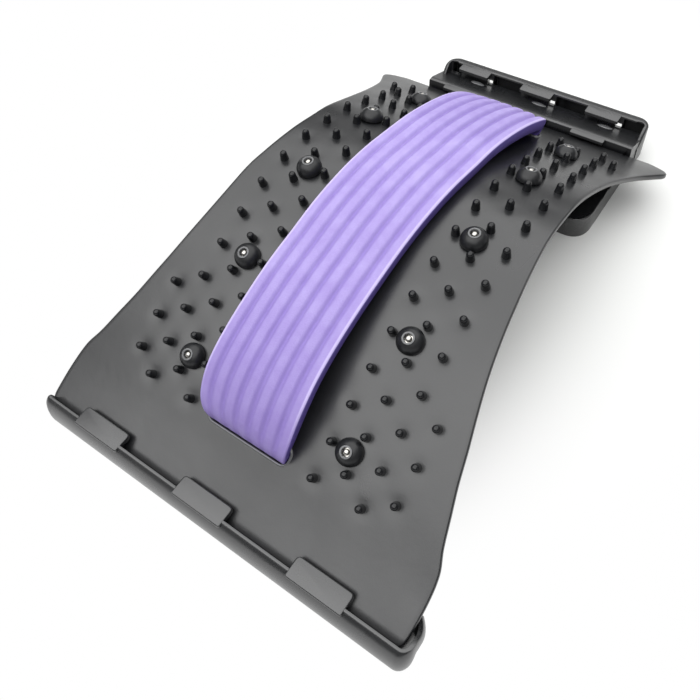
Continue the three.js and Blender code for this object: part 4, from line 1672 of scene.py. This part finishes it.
@dataclass
class Stretcher:
    """The whole object, which dresses each piece and ties it to its body."""

    press: float = 12.0
    hook_height: float = 14.5
    crown: float = 80.0

    def __post_init__(self) -> None:
        """Makes the finishes that the pieces share."""
        self.line = ArchLine()
        self.grid = NodeGrid()
        self.base_finish = MouldedAbs(
            "base_grained_abs", colour="17181a", worn_colour="212224", roughness=0.28, shine=1.1,
        ).material()
        self.plate_finish = MouldedAbs("plate_grained_abs", shine=0.88).material()
        self.cap_finish = MouldedAbs(
            "cap_satin_abs", colour="1b1c1e", worn_colour="232426", roughness=0.36, shine=0.45, ripple_depth=0.0,
        ).material()
        self.foam_finish = EvaFoam("pad_pressed_eva_foam").material()
        self.magnet_finish = NickelPlate("magnet_nickel_plate").material()

    def dress(
        self, name: str, shell: Shell, finish: bpy.types.Material, body: str, node: str,
        sharp: float = 38.0,
    ) -> bpy.types.Object:
        """Makes a piece from its shell and ties it to the frame.

        Args:
            name: The piece's name.
            shell: Its surfaces.
            finish: Its material.
            body: The body that it rides on.
            node: The node that it stands for.
            sharp: The angle in degrees above which an edge stays sharp.

        Returns:
            The piece.
        """
        mesh = shell.mesh(name)
        mesh.materials.append(finish)
        mesh.shade_smooth()
        mesh.set_sharp_from_angle(angle=math.radians(sharp))
        piece = bpy.data.objects.new(name, mesh)
        bpy.context.scene.collection.objects.link(piece)
        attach(piece, body)
        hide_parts(node)
        LOG.info("%s: %d faces", name, len(mesh.polygons))
        return piece

    def tint(self, piece: bpy.types.Object, shares: dict[str, list[float]]) -> None:
        """Writes a value for each point of a piece, under the names that its finish reads."""
        for name, values in shares.items():
            piece.data.attributes.new(name, "FLOAT", "POINT").data.foreach_set("value", values)

    def follow_press(self, piece: bpy.types.Object) -> None:
        """Gives a piece its own copy of its mesh."""
        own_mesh(piece)

    def base(self) -> None:
        """Builds the base frame."""
        block = HookBlock()
        base = FrontLip().shell().add(BaseTray().shell()).add(block.shell())
        plain, pips = len(base.points), block.pips()
        piece = self.dress("moulded_base", base.add(pips), self.base_finish, "base", "base_frame")
        # The pips get a painted highlight.
        self.tint(piece, {"painted_highlight": [0.0] * plain + [block.pip_highlight] * len(pips.points)})

    def arch(self) -> None:
        """Builds the arch plate and the foam pad."""
        arch = ArchPlate(self.line, self.grid)
        plate = arch.shell()
        piece = self.dress("moulded_arch_plate", plate, self.plate_finish, "arch", "arch_plate")
        self.tint(piece, arch.tints)
        self.follow_press(piece)
        pad = FoamPad(self.line)
        piece = self.dress("ribbed_foam_pad", pad.shell(), self.foam_finish, "arch", "foam_pad", 60.0)
        self.tint(piece, pad.tints())
        self.follow_press(piece)

    def buttons(self) -> None:
        """Builds the caps and their magnets."""
        buttons = MagnetButtons()
        for side in Side:
            word = side.name.lower()
            for i, (x, length) in enumerate(self.grid.buttons(), 1):
                cap = self.line.seated(buttons.cap(), side.value * x, length)
                magnet = self.line.seated(buttons.magnet(), side.value * x, length)
                shown = (
                    (f"button_cap_{word}_{i}", cap, self.cap_finish, "cap_plastic", f"magnet_cap_{word}_{i}"),
                    (f"button_magnet_{word}_{i}", magnet, self.magnet_finish, "magnet", f"magnet_{word}_{i}"),
                )
                for name, shell, finish, slot, node in shown:
                    piece = self.dress(name, shell, finish, "arch", node)
                    if shell is cap:
                        self.tint(piece, buttons.tints)
                    self.follow_press(piece)


def main() -> None:
    """Builds the studio and the object, piece by piece."""
    logging.basicConfig(level=logging.INFO, format="%(message)s")
    Studio().build()
    stretcher = Stretcher()
    stretcher.base()
    stretcher.arch()
    stretcher.buttons()


if __name__ == "__main__":
    main()
